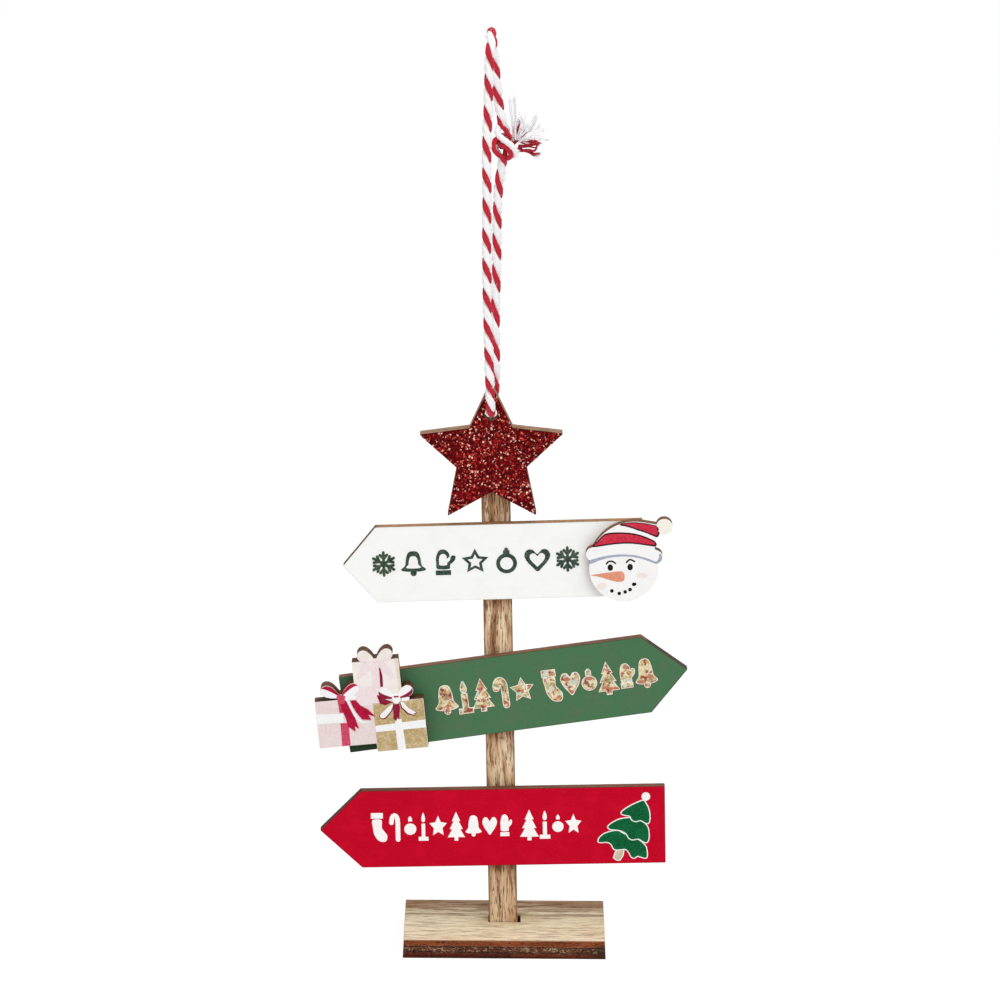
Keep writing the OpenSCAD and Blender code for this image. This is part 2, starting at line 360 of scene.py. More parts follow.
def woodGrain(wood, along, across, depth, wander=1.0):
    # along runs with the grain; the three are wires in millimetres
    drift = wood.noise(wood.point(along * 0.03, across * 0.12, depth * 0.12), detail=1.0) * wander
    line = across + drift
    tone = wood.noise(wood.point(along * 0.045, line * 0.45, depth * 0.4), detail=3.0)
    streaks = wood.noise(wood.point(along * 0.1, line * 1.3, depth * 0.9),
                         detail=4.0, roughness=0.65)
    pores = wood.noise(wood.point(along * 0.4, line * 3.2, depth * 2.0),
                       detail=2.0, roughness=0.65)
    return tone, streaks, pores


def makeBaseTop():
    wood = Finish("baseVeneer", Roughness=0.62, Specular_IOR_Level=0.15)
    x, y, z = wood.axes()
    tone, streaks, pores = woodGrain(wood, x, y * 0.55, z)
    sway = y + (wood.noise(wood.point(x * 0.06, y * 0.1, 3.0), detail=2.0) - 0.5) * 2.4
    heart = sway.step(1.4, 3.0) * (1 - 0.85 * sway.step(3.4, 3.9) * (1 - sway.step(4.4, 5.2)))
    late = heart * (0.5 + 0.5 * sway.step(6.6, 7.8))
    fine = wood.noise(wood.point(x * 0.16, y * 1.6, 7.0), detail=3.0, roughness=0.65)
    colour = wood.coats(
        wood.ramp(tone, (0.36, veneer["mid"]), (0.5, veneer["pale"])),
        (late * 0.65, veneer["brown"]),
        ((streaks + late * 0.06).step(0.5, 0.58) * (0.2 + late * 0.6), veneer["brown"]),
        ((fine + late * 0.04).step(0.52, 0.58) * (0.45 + late * 0.35), veneer["pore"]),
        ((fine + late * 0.06).step(0.59, 0.64) * (0.42 + late * 0.5), veneer["streak"]),
        (pores.step(0.56, 0.64) * 0.3, veneer["pore"]))
    return wood.feed(Base_Color=colour, Normal=wood.bump(pores * -0.4 + fine * -0.6, 0.06, 0.6))


plies = {  # the base's plies, each from dark to light, and what shows in and on them
    "rust": (tint(98, 48, 26), tint(130, 68, 38), tint(158, 88, 52)),
    "core": (tint(56, 28, 22), tint(90, 50, 36), tint(114, 72, 54)),
    "red": (tint(52, 18, 10), tint(96, 40, 24), tint(126, 60, 34)),
    "char": tint(28, 18, 14),
    "sooty": tint(36, 38, 30),
    "fleck": tint(186, 158, 124),
    "edge": tint(210, 182, 146),
}


def makeBaseEdge():
    wood = Finish("baseEdge", Roughness=0.65, Specular_IOR_Level=0.08)
    x, y, z = wood.axes()
    ragged = (wood.noise(wood.point(x * 0.6, y * 0.6, z * 0.2), detail=3.0) - 0.5) * 0.55
    level = z + ragged + x * 0.006
    fibres = wood.noise(wood.point(x * 1.6, y * 1.6, z * 5.5), detail=3.0, roughness=0.7)
    patches = wood.noise(wood.point(x * 0.11, y * 0.11, z * 0.5), detail=2.0)
    grain = fibres + (patches - 0.5) * 0.6
    top = wood.ramp(grain, *zip((0.34, 0.5, 0.66), plies["rust"]))
    core = wood.ramp(grain, *zip((0.36, 0.52, 0.68), plies["core"]))
    low = wood.ramp(grain, *zip((0.34, 0.52, 0.7), plies["red"]))
    squiggle = wood.noise(wood.point(x * 0.85, y * 0.85, z * 1.25), detail=2.0, distortion=1.8)
    broken = wood.noise(wood.point(x * 1.4, y * 1.4, z * 2.6), detail=2.0).step(0.4, 0.54)
    fleck = squiggle.step(0.49, 0.53) * (1 - squiggle.step(0.56, 0.6)) * broken
    glue = level.step(0.95, 1.25) * (1 - level.step(2.5, 2.8))
    seam = (level.step(2.3, 2.42) * (1 - level.step(2.5, 2.62))
            + level.step(1.1, 1.2) * (1 - level.step(1.3, 1.5)))
    specks = wood.noise(wood.point(x * 0.8, y * 0.8, z * 3.6), detail=1.0).step(0.6, 0.68)
    colour = wood.coats(
        low,
        ((1 - level.step(0.45, 0.6)) * 0.45, plies["char"]),
        (level.step(1.0, 1.15), core),
        (level.step(2.45, 2.65), top),
        (fleck * glue * 0.9, plies["fleck"]),
        (x.step(15.5, 20.5) * (1 - level.step(2.5, 3.6)) * 0.6, plies["sooty"]),
        (seam * 0.75, plies["char"]),
        (specks * 0.65, plies["char"]),
        (z.step(3.7, 3.86) * 0.5, plies["edge"]))
    return wood.feed(Base_Color=colour, Normal=wood.bump(fibres, 0.14, 0.8))


def makePostWood():
    wood = Finish("postWood", Roughness=0.6, Specular_IOR_Level=0.12)
    x, y, z = wood.axes()
    across = x + z * math.tan(math.radians(post["lean"])) - post["x"]
    tone, streaks, pores = woodGrain(wood, z, across, y, wander=1.2)
    sway = across + (wood.noise(wood.point(z * 0.05, y * 0.3, 1.0), detail=2.0) - 0.5) * 1.8
    heart = sway.step(-1.4, -0.9) * (1 - sway.step(-0.6, 0.0))  # a dark streak all along
    rim = (across * across).step(6.2, 7.6)
    fade = wood.noise(wood.point(z * 0.08, across * 0.25, 5.0), detail=2.0).step(0.38, 0.58)
    # painted shade: the post is darkened just under each board and under the star, where they shade
    # it
    paintedShade = 0.0
    for low, reach in post["shaded"]:
        paintedShade = z.step(low - reach, low + 0.2) - z.step(low + 4, low + 5) + paintedShade
    dark = heart * (0.35 + 0.65 * fade) + paintedShade * 0.9 + fade * 0.3
    colour = wood.coats(
        wood.ramp(tone, (0.38, tint(206, 170, 130)), (0.56, tint(240, 216, 182))),
        (heart * fade * 0.5 + paintedShade * 0.6, tint(150, 100, 62)),
        ((streaks + dark * 0.06).step(0.49, 0.6) * 0.6, tint(176, 130, 88)),
        ((streaks + dark * 0.07).step(0.56, 0.65) * 0.7, tint(128, 86, 54)),
        ((pores + dark * 0.06).step(0.53, 0.61) * 0.6, tint(146, 104, 70)),
        ((pores + dark * 0.08).step(0.6, 0.67) * 0.85, tint(98, 62, 38)),
        (rim * 0.6, tint(104, 72, 48)))
    return wood.feed(Base_Color=colour,
                     Normal=wood.bump(pores * -0.5 + streaks * -0.5, 0.08, 0.7))


def makePostCut():  # the post's sides and top
    wood = Finish("postCut", Roughness=0.65, Specular_IOR_Level=0.25)
    x, y, z = wood.axes()
    tone, streaks, pores = woodGrain(wood, z, y, x)
    colour = wood.coats(
        wood.ramp(tone, (0.35, tint(124, 92, 64)), (0.6, tint(176, 143, 108))),
        (streaks.step(0.52, 0.7) * 0.7, tint(84, 56, 36)),
        (pores.step(0.5, 0.7) * 0.4, tint(118, 86, 58)))
    return wood.feed(Base_Color=colour, Normal=wood.bump(streaks * -1.0, 0.08, 0.6))


def makeCutEdge(name, frontY, thick, light, dark, char, tip=None):
    # light, dark and charred wood; tip is where the burnt point of a board begins and is full
    wood = Finish(name, Roughness=0.65, Specular_IOR_Level=0.1)
    x, y, z = wood.axes()
    depth = (y - frontY) / thick
    fibres = wood.noise(wood.point(x * 1.5, y * 4.5, z * 1.5), detail=3.0, roughness=0.7)
    patches = wood.noise(wood.point(x * 0.22, y * 0.3, z * 0.22), detail=2.0)
    core = depth.step(0.3, 0.36) * (1 - depth.step(0.64, 0.7))
    scorch = ((1 - depth.step(0.02, 0.2)) + depth.step(0.84, 0.98)
              + patches.step(0.5, 0.66) * 0.6)
    colour = wood.coats(
        wood.ramp(fibres * 0.6 + patches * 0.4, (0.42, dark), (0.56, light)),
        (core * 0.5, dark),
        (scorch * 0.6, char),
        *([(x.step(*tip) * 0.88, char)] if tip else []))
    return wood.feed(Base_Color=colour, Normal=wood.bump(fibres, 0.06, 0.6))


def makeBareBack():
    wood = Finish("bareBack", Roughness=0.65, Specular_IOR_Level=0.25)
    x, y, z = wood.axes()
    tone, streaks, pores = woodGrain(wood, x, z, y)
    colour = wood.coats(
        wood.ramp(tone, (0.35, tint(204, 178, 142)), (0.58, tint(228, 208, 177))),
        (streaks.step(0.54, 0.72) * 0.4, tint(170, 136, 98)),
        (pores.step(0.52, 0.72) * 0.35, tint(176, 144, 108)))
    return wood.feed(Base_Color=colour, Normal=wood.bump(pores * -1.0, 0.05, 0.5))


def burntRim(board, slope, along, across):  # how much the laser darkened a board's outline
    middle = onPost(board["at"], board["turn"]).translation
    u = along - (middle.x * math.cos(slope) + middle.z * math.sin(slope) + board["shift"])
    v = across - (middle.z * math.cos(slope) - middle.x * math.sin(slope))
    v = v.sum("ABSOLUTE", v)
    half, point = board["height"] / 2, board["point"]
    ahead = u * -board["way"] + (board["length"] / 2 + point)
    behind = u * board["way"] + board["length"] / 2
    slant = (ahead * half - v * point) / math.hypot(half, point)
    sides = v.sum("MINIMUM", half - v, behind)
    rims = [(1 - near.step(0.06, 0.28)) * share
            for near, share in zip((sides, slant), board["burnt"])]
    return v.sum("MAXIMUM", *rims)


def makePaint(name, colour, worn, turn, grain=0.5, scuffs=0.4, speckle=None, under=None,
              rim=None):
    # turn is the board's angle, which the grain follows; under is a darker colour painted
    # in one corner as the shadow cast there, given as the places where it ends and the colour
    paint = Finish(name, Roughness=0.55, Specular_IOR_Level=0.05)
    spot = paint.place()
    x, z = paint.axis(spot, "X"), paint.axis(spot, "Z")
    slope = math.radians(post["lean"] + turn)
    along = x * math.cos(slope) + z * math.sin(slope)
    across = z * math.cos(slope) - x * math.sin(slope)
    ribs = paint.noise(paint.point(along * 0.06, 0.0, across * 2.6), detail=3.0, roughness=0.6)
    cloud = paint.noise(paint.point(along * 0.22, 0.0, across * 0.3), detail=4.0, roughness=0.6)
    dust = paint.noise(paint.point(along * 2.1, 0.0, across * 2.4), detail=4.0, roughness=0.7)
    shown = paint.mix((ribs * 0.15 + cloud * 0.85).step(0.46, 0.62) * grain, colour, worn)
    shown = paint.mix(dust.step(0.58, 0.68) * scuffs, shown, speckle or worn)
    if under:
        (start, end, low, high), shade = under
        # painted shadow: the corner is darkened to the given colour where a cut-out in front shades
        # it
        thin = (1 - along.step(start, end)) * (1 - across.step(low, high))
        shown = paint.mix(thin * (0.75 + 0.25 * dust.step(0.4, 0.6)), shown, shade)
    if rim:
        burnt = burntRim(boards[rim], slope, along, across)
        shown = paint.mix(burnt, shown, plates[rim]["edge"][2])
    return paint.feed(Base_Color=shown, Normal=paint.bump(ribs * 0.5 + dust * 0.5, 0.02, 0.5))


plates = {  # the flat cut-outs, with their paint and with the tones of their cut edge
    "white": {
        "piece": "white_board", "node": "white_sign", "slot": "white_paint",
        "layer": boardThick, "thick": boardThick, "edgeWidth": wooden["boardEdge"],
        "paint": {"name": "whitePaint", "colour": tint(250, 251, 248), "worn": tint(244, 244, 241),
                  "turn": boards["white"]["turn"], "rim": "white"},
        "edge": (tint(200, 154, 110), tint(150, 108, 74), tint(72, 50, 42), (-25.8, -26.6))},
    "green": {
        "piece": "green_board", "node": "green_sign", "slot": "green_paint",
        "layer": boardThick, "thick": boardThick, "edgeWidth": wooden["boardEdge"],
        "paint": {"name": "greenPaint", "colour": tint(74, 117, 82), "worn": tint(88, 113, 84),
                  "turn": boards["green"]["turn"], "grain": 0.6, "scuffs": 0.35,
                  "speckle": tint(122, 146, 116), "rim": "green",
                  # painted shadow of the gift stack on the green board's lower left corner
                  "under": ((-19.8, -18.8, 47.4, 48.4), tint(38, 54, 34))},
        "edge": (tint(160, 118, 92), tint(118, 80, 60), tint(66, 44, 36), (27.8, 28.6))},
    "red": {
        "piece": "red_board", "node": "red_sign", "slot": "red_paint",
        "layer": boardThick, "thick": boardThick, "edgeWidth": wooden["boardEdge"],
        "paint": {"name": "redPaint", "colour": tint(196, 0, 36), "worn": tint(206, 6, 44),
                  "turn": boards["red"]["turn"], "grain": 0.7, "scuffs": 0.7,
                  "speckle": tint(214, 36, 66), "rim": "red"},
        "edge": (tint(150, 108, 82), tint(104, 70, 52), tint(60, 36, 28), (-28.7, -29.5))},
    "head": {
        "piece": "head_board", "node": "snowman_head", "slot": "head_print",
        "layer": boardThick + headThick, "thick": headThick, "edgeWidth": wooden["cutoutEdge"],
        "paint": {"name": "faceWhite", "colour": tint(248, 247, 246), "worn": tint(243, 241, 239),
                  "turn": boards["white"]["turn"], "scuffs": 0.2},
        "edge": (tint(152, 110, 80), tint(96, 66, 46), tint(54, 32, 24))},
    "gifts": {
        "piece": "gift_board", "node": "gift_stack", "slot": "gift_print",
        "layer": boardThick + giftThick, "thick": giftThick, "edgeWidth": wooden["cutoutEdge"],
        "paint": {"name": "giftWhite", "colour": tint(244, 236, 232), "worn": tint(236, 224, 220),
                  "turn": boards["green"]["turn"], "scuffs": 0.3},
        "edge": (tint(140, 98, 66), tint(48, 28, 18), tint(30, 16, 10))},
    "star": {
        "piece": "star_board", "node": "star", "slot": "star_glitter",
        "layer": starPlace["thick"], "thick": starPlace["thick"],
        "edgeWidth": wooden["cutoutEdge"],
        "paint": {"name": "glitterBed", "colour": tint(82, 0, 4), "worn": tint(106, 6, 10),
                  "turn": 0, "scuffs": 0.5},
        "edge": (tint(186, 150, 120), tint(134, 100, 76), tint(80, 52, 40))},
}


def makeWood():
    back = makeBareBack()
    cut = {part: makeCutEdge(part + "Edge", front - plate["layer"], plate["thick"],
                             *plate["edge"])
           for part, plate in plates.items()}
    woodCopy("base_wood", "base_block", wooden["blockEdge"], baseSide,
             [makeBaseTop(), makeBaseEdge()])
    woodCopy("post_strip", "post", wooden["blockEdge"], postSide,
             [makePostWood(), makePostCut()])
    for part, plate in plates.items():
        woodCopy(plate["piece"], plate["node"], plate["edgeWidth"], plateSide,
                 [makePaint(**plate["paint"]), back, cut[part]])


# Twine: a red and a white ply laid together
twine = {
    "route": [
        (-1.7, 1.6, 169), (-1.7, 1.6, 170.5), (-2.4, 1.6, 174.5), (-3, 1.6, 180), (-3.5, 1.6, 185),
        (-3.7, 1.1, 187), (-3.8, -0.4, 188.5), (-3.8, -2.4, 189), (-3.9, -4.4, 188.5),
        (-4, -5.9, 187), (-4.2, -6.4, 185), (-4.3, -6.4, 179.5), (-4.4, -6.4, 174),
        (-4.6, -6.4, 168.5), (-4.6, -6.4, 163), (-4.5, -6.4, 157.5), (-4.5, -6.4, 152),
        (-4.5, -6.4, 146.5), (-4.4, -6.4, 141), (-4.3, -6.4, 135.5), (-4.1, -6.4, 130),
        (-3.9, -6.4, 124), (-3.7, -6.4, 119), (-3.6, -6.4, 116.1), (-3.5, -5.9, 114.1),
        (-3.5, -4.4, 112.6), (-3.5, -2.4, 112.1), (-3.4, -0.4, 112.6), (-3.1, 1.1, 114.1),
        (-2.7, 1.6, 116.1), (-2.6, 1.6, 121), (-2.7, 1.6, 126.5), (-2.7, 1.6, 132),
        (-2.6, 1.6, 137.5), (-2.5, 1.6, 143), (-2.5, 1.6, 148.5), (-2.4, 1.6, 154),
        (-2.1, 1.6, 158.5), (-1.6, 1.6, 161.5), (-1.5, 1.6, 163)],
    "diameter": 1.9,
    # turns of the plies by the distance along the cord: the lay is uneven, as hand-tied twine is
    "turns": [(0, -4.5), (28.6, 0), (47.2, 3), (65.5, 6), (83.7, 9), (95.5, 11), (98.5, 11.62),
              (118.9, 14.5), (133.1, 16.5), (152, 19.5), (158, 20.4)],
    "red": {"offset": 0.5, "deep": 0.44, "wide": 0.62},    # a ply's middle and its half sizes
    "white": {"offset": 0.37, "deep": 0.58, "wide": 0.8},
    "plyMiddle": 0.45,  # where a ply's threads turn about, from the cord's middle
    "meet": 0.12,       # where the plies meet, towards the red one
    "yarns": 6,         # ridges on each ply
    "ridge": 0.045,
    "ringGap": 0.25,
    "sides": 15,        # points on each ply
    "hairs": {"count": 420, "root": 0.72, "lean": 0.9, "reach": (0.3, 0.75), "red": 0.35,
              "thick": 0.028, "thin": 0.014},
}


def between(a, b, c, d, t):  # a smooth curve's point from b to c
    return 0.5 * (2 * b + (c - a) * t + (2 * a - 5 * b + 4 * c - d) * t ** 2
                  + (3 * b - a - 3 * c + d) * t ** 3)


def smoothPath(points, gap):  # points that far apart on one smooth curve through the given ones
    given = [Vector(p) for p in points]
    given = [2 * given[0] - given[1], *given, 2 * given[-1] - given[-2]]
    fine = []
    for a, b, c, d in zip(given, given[1:], given[2:], given[3:]):
        fine += [between(a, b, c, d, i / 12) for i in range(12)]
    fine.append(given[-2])
    total = sum((q - p).length for p, q in zip(fine, fine[1:]))
    count = max(2, round(total / gap))
    even, walked, piece = [fine[0]], 0.0, 0
    for i in range(1, count):
        goal = total * i / count
        while walked + (fine[piece + 1] - fine[piece]).length < goal:
            walked += (fine[piece + 1] - fine[piece]).length
            piece += 1
        step = fine[piece + 1] - fine[piece]
        even.append(fine[piece] + step * ((goal - walked) / step.length))
    return [*even, fine[-1]], total


def ringPlaces(path, turns):  # a place for a ring at each point, carried along and then turned
    side, places = sideways, []
    for i, point in enumerate(path):
        ahead = (path[min(i + 1, len(path) - 1)] - path[max(i - 1, 0)]).normalized()
        side = (side - ahead * side.dot(ahead)).normalized()
        facing = Matrix([side, ahead.cross(side), ahead]).transposed().to_4x4()
        turned = Matrix.Rotation(-2 * math.pi * turns(i), 4, "Z")
        places.append(Matrix.Translation(point) @ facing @ turned)
    return places


def twineTurns(distance):
    for (start, low), (end, high) in zip(twine["turns"], twine["turns"][1:]):
        if distance <= end:
            return low + (high - low) * (distance - start) / (end - start) - 0.25
    return twine["turns"][-1][1] - 0.25


def plyOutline(ply, way):  # a ply's shape across the cord, way 1 or -1 from the cord's middle
    meet = math.acos((way * twine["meet"] - ply["offset"]) / ply["deep"])
    outline = []
    for i in range(twine["sides"]):
        angle = -meet + 2 * meet * (i + 0.5) / twine["sides"]
        swell = 1 + twine["ridge"] * math.cos(twine["yarns"] * angle)
        outline.append(Vector((way * (ply["offset"] + ply["deep"] * swell * math.cos(angle)),
                               way * ply["wide"] * swell * math.sin(angle), 0)))
    return outline


def loosePly(radius):  # a ply on its own, as the knot shows it
    outline = []
    for i in range(twine["sides"]):
        angle = 2 * math.pi * i / twine["sides"]
        swell = radius * (1 + 1.6 * twine["ridge"] * math.cos(5 * angle))
        outline.append(Vector((swell * math.cos(angle), swell * math.sin(angle), 0)))
    return outline


def layTube(shape, places, outline, gap, choose, middle):
    # a closed tube through the places; choose gives a face's material, and middle says where
    # a ply's own middle is across the tube
    lay = shape.loops.layers.uv.verify()
    first = [shape.verts.new(places[0] @ p) for p in outline]
    ring = [shape.edges.new(pair) for pair in zip(first, first[1:] + first[:1])]
    caps = bmesh.ops.contextual_create(shape, geom=ring)["faces"]
    for i in range(1, len(places)):
        step = places[i] @ places[i - 1].inverted()
        made = bmesh.ops.extrude_edge_only(shape, edges=ring)["geom"]
        moved = [e for e in made if isinstance(e, bmesh.types.BMVert)]
        bmesh.ops.transform(shape, matrix=step, verts=moved)
        ring = [e for e in made if isinstance(e, bmesh.types.BMEdge)]
        back, ahead = places[i].inverted(), set(moved)
        for face in {f for v in moved for f in v.link_faces}:
            face.smooth = True
            kind = choose(back @ face.calc_center_median())
            face.material_index = kind
            for corner in face.loops:
                spot = back @ corner.vert.co
                along = i if corner.vert in ahead else i - 1
                corner[lay].uv = (math.atan2(spot.y, abs(spot.x) - middle if middle else spot.x),
                                  along * gap)
    caps += bmesh.ops.contextual_create(shape, geom=ring)["faces"]
    for face in caps:
        face.material_index = choose(Vector((-1, 0, 0)))


def cottonFinish(name):
    return Finish(name, Roughness=0.9, Specular_IOR_Level=0.04, Sheen_Weight=0.15,
                  Sheen_Roughness=0.5)


def makePly(name, light, mid, dark):
    cotton = cottonFinish(name)
    spot = cotton.node("ShaderNodeUVMap", {"uv_map": "UVMap"})
    u, v = cotton.axis(spot, "X"), cotton.axis(spot, "Y")
    strands = cotton.noise(cotton.point(u * 2.4 + v * 1.2, v * 0.55, 0.0), detail=3.0,
                           roughness=0.65)
    cloud = cotton.noise(cotton.point(u * 0.6, v * 0.9, 0.0), detail=3.0)
    # painted shade: each ply is darkened towards its sides, where it rounds away and turns under
    # the other ply, so its middle reads lighter
    rim = (u * u).step(0.5, 2.6)  # a ply is darker where it turns under the other
    tone = strands * 0.55 + cloud * 0.45 - rim * 0.07
    colour = cotton.ramp(tone, (0.41, dark), (0.49, mid), (0.59, light))
    return cotton.feed(Base_Color=colour, Normal=cotton.bump(strands, 0.12, 0.8))


def makeThread(name, light, dark):
    cotton = cottonFinish(name)
    tone = cotton.noise(cotton.place(1.4, 1.4, 1.4), detail=2.0)
    fuzz = cotton.noise(cotton.place(9, 9, 9), detail=2.0)
    return cotton.feed(Base_Color=cotton.ramp(tone, (0.35, dark), (0.6, light)),
                       Normal=cotton.bump(fuzz, 0.04, 0.6))


def makeTwine(red, white):
    path, length = smoothPath(twine["route"], twine["ringGap"])
    gap = length / (len(path) - 1)
    shape = bmesh.new()
    outline = plyOutline(twine["red"], 1) + plyOutline(twine["white"], -1)
    layTube(shape, ringPlaces(path, lambda i: twineTurns(i * gap)), outline, gap,
            lambda spot: 0 if spot.x > twine["meet"] else 1, twine["plyMiddle"])
    cord = finishDrawn("twine_loop", shape, [red, white], ["hanging_cord"])
    return cord, path, length


def threadPiece(name, threads, materials, replaced=()):
    # threads: material number, points and the radius at each end
    line = bpy.data.curves.new(name, "CURVE")
    line.dimensions = "3D"
    line.bevel_depth, line.bevel_resolution, line.use_fill_caps = 1, 0, True
    for material in materials:
        line.materials.append(material)
    for kind, points, thick, thin in threads:
        spline = line.splines.new("POLY")
        spline.points.add(len(points) - 1)
        spline.material_index, spline.use_smooth = kind, True
        for i, (point, spot) in enumerate(zip(spline.points, points)):
            point.co = (*spot, 1)
            point.radius = thick + (thin - thick) * i / (len(points) - 1)
    seat = bpy.data.objects.new(name + "_line", line)
    mesh = bpy.data.meshes.new_from_object(seat)
    bpy.data.objects.remove(seat)
    mesh.transform(Matrix.Scale(mm, 4))
    mesh.name = name
    return dress(bpy.data.objects.new(name, mesh), [], replaced)


def makeHairs(path, materials):  # short loose fibres all along the cord
    chance, hair, hairs = random.Random(7), twine["hairs"], []
    for _ in range(hair["count"]):
        at = chance.randrange(2, len(path) - 2)
        ahead = (path[at + 1] - path[at - 1]).normalized()
        out = (Matrix.Rotation(chance.uniform(0, 2 * math.pi), 4, ahead) @ sideways).normalized()
        start = path[at] + out * hair["root"]
        lean = ahead * chance.uniform(-hair["lean"], hair["lean"])
        reach = chance.uniform(*hair["reach"])
        points = [start, start + (out * 0.5 + lean) * reach * 0.5,
                  start + (out + lean * 0.7) * reach]
        kind = 0 if chance.random() < hair["red"] else 1
        hairs.append((kind, points, hair["thick"], hair["thin"]))
    return threadPiece("twine_hairs", hairs, materials)


knot = {
    "plies": (0.48, 0.59),     # radius of the red and of the white ply where they run loose
    "pitch": 5.5,
    "ringGap": 0.22,
    "white": [
        [(-2.1, 1.5, 169.4), (-2.6, 0.5, 168.4), (-1.6, -0.3, 167.3), (-0.3, -0.5, 166.4),
         (0.6, -0.3, 165.5), (1.1, 0.3, 164.4), (0.8, 1.4, 163.5), (0.1, 2.6, 163.8),
         (-0.3, 3.3, 165), (-0.5, 3.2, 166.4), (0, 2.4, 167), (0.9, 1.7, 166.8)],
        [(-1, 2.1, 169.3), (-0.6, 2.9, 168.2), (-1.2, 3.6, 166.8), (-2.3, 3.4, 165.6),
         (-2.9, 2.2, 164.7), (-2.4, 1.3, 164), (-1.4, 1.5, 162.6)]],
    "red": [
        [(-1.2, 1.2, 162.4), (-1.7, 0.5, 163.4), (-2.7, 0, 164.3), (-3.3, 0, 165.4),
         (-3.1, 0.4, 166.7), (-2.3, 0.7, 167.2), (-2, 1.3, 166), (-1.6, 1.2, 165)],
        [(-2.6, 1.2, 166.3), (-1.9, 0.2, 166), (-0.9, -0.2, 165.6), (-0.1, -0.1, 164.9),
         (0.1, 0.3, 163.8), (-0.4, 0.9, 163.1), (-1, 1.5, 163.5), (-0.9, 2.5, 164.4),
         (0, 2.9, 165.2), (0.8, 2.2, 166.1), (1.2, 1.7, 166.7)],
        [(-1.4, 1.7, 169.3), (-0.7, 1.4, 168.2), (-0.2, 1.2, 167.2), (-0.6, 1.7, 166),
         (-1.5, 2.4, 165), (-2.1, 2.9, 166), (-1.3, 3.1, 167.5)]],
}


def makeKnot(red, white):
    shape = bmesh.new()
    for kind, runs in enumerate((knot["red"], knot["white"])):
        for run in runs:
            path, length = smoothPath(run, knot["ringGap"])
            gap = length / (len(path) - 1)
            places = ringPlaces(path, lambda i: i * gap / knot["pitch"])
            layTube(shape, places, loosePly(knot["plies"][kind]), gap, lambda spot: kind, 0)
    return finishDrawn("tied_knot", shape, [red, white], ["cord_knot"])


tassel = {
    "root": (1, 1.6, 166.6),
    "white": [  # yarns that stand out from the rest, from the root outwards
        [(0.5, 1.3, 167.4), (0.3, 1.1, 170.5), (0.05, 1, 172.4), (-0.1, 1, 174.5)],
        [(0.8, 1, 167.6), (0.95, 0.8, 170.8), (0.85, 0.6, 173.4), (0.72, 0.6, 175.2)],
        [(1, 0.8, 167), (1, 0.4, 169.4), (1.15, 0.2, 170.9), (1.6, 0.2, 171.6), (2.2, 0.4, 170.8),
         (2.5, 0.7, 169.3), (2.1, 1, 167.6)],
        [(1.2, 1.2, 167), (1.3, 1, 169.4), (1.5, 1, 171), (1.95, 1.1, 171.3), (2.5, 1.3, 170),
         (2.6, 1.5, 168.8)],
        [(1.5, 1, 166.9), (2.6, 0.8, 168.2), (3.7, 0.9, 169.3), (4.3, 1, 170.3), (4.7, 1, 171.3)],
        [(1.6, 1.4, 166.8), (3, 1.6, 168.1), (4.1, 1.6, 169.1), (4.6, 1.5, 170), (4.9, 1.5, 170.9)],
        [(1.7, 1, 166.7), (3.2, 0.8, 167.8), (4.8, 0.8, 168.5), (6.2, 0.9, 168.8)],
        [(1.8, 1.4, 166.6), (3.6, 1.5, 167.4), (4.8, 1.6, 168.4), (5.5, 1.7, 169.3)],
        [(1.8, 1, 166.3), (3.4, 0.8, 166.9), (5, 0.8, 167.3), (6.9, 1, 167)],
        [(1.6, 0.7, 166.5), (2.8, 0.3, 167.3), (4, 0.1, 168), (5, 0, 168.1)]],
    "red": [
        [(1.6, 0.9, 165.7), (2.4, 0.7, 165.5), (3.8, 0.6, 166), (4.8, 0.6, 166.6),
         (5.3, 0.7, 166.2), (5.3, 0.7, 165.4), (4.9, 0.6, 165), (3.8, 0.6, 165.2), (2.6, 0.8, 165)],
        [(1.7, 1.2, 165.6), (2.7, 1.2, 165.6), (4, 1.2, 165.7), (5.1, 1.2, 165.9)],
        [(1.6, 1, 165.2), (2.4, 0.8, 164.8), (3.6, 0.7, 164.5), (4.4, 0.7, 164), (5.2, 0.8, 163.9)],
        [(1.5, 1.4, 165.1), (2.6, 1.5, 164.6), (3.7, 1.6, 164.3), (4.8, 1.7, 163.7)],
        [(1.3, 0.9, 167.2), (1.35, 0.8, 168.3), (1.5, 0.9, 169.6)],
        [(1.7, 0.9, 167), (2.1, 0.8, 167.6), (2.6, 0.9, 168)]],
    "more": 30,         # further yarns, spread between the others and behind them
    "lift": (-8, 82),   # directions and reach of the yarns that are drawn at random
    "swing": (-55, 75),
    "reach": (3.2, 5.6),
    "redBelow": 4,      # lift under which such a yarn is red
    "abreast": 3,
    "apart": 0.16,
    "ringGap": 0.45,
    "wobble": 0.05,
    "spread": 0.5,
    "strays": 4,
    "strayReach": (0.35, 0.8),
    "strayThick": (0.09, 0.03),
    "yarn": 0.19,       # radius of a yarn
}


def scatter(chance, most):  # a vector whose parts are up to that much either way
    return Vector([chance.uniform(-most, most) for _ in range(3)])


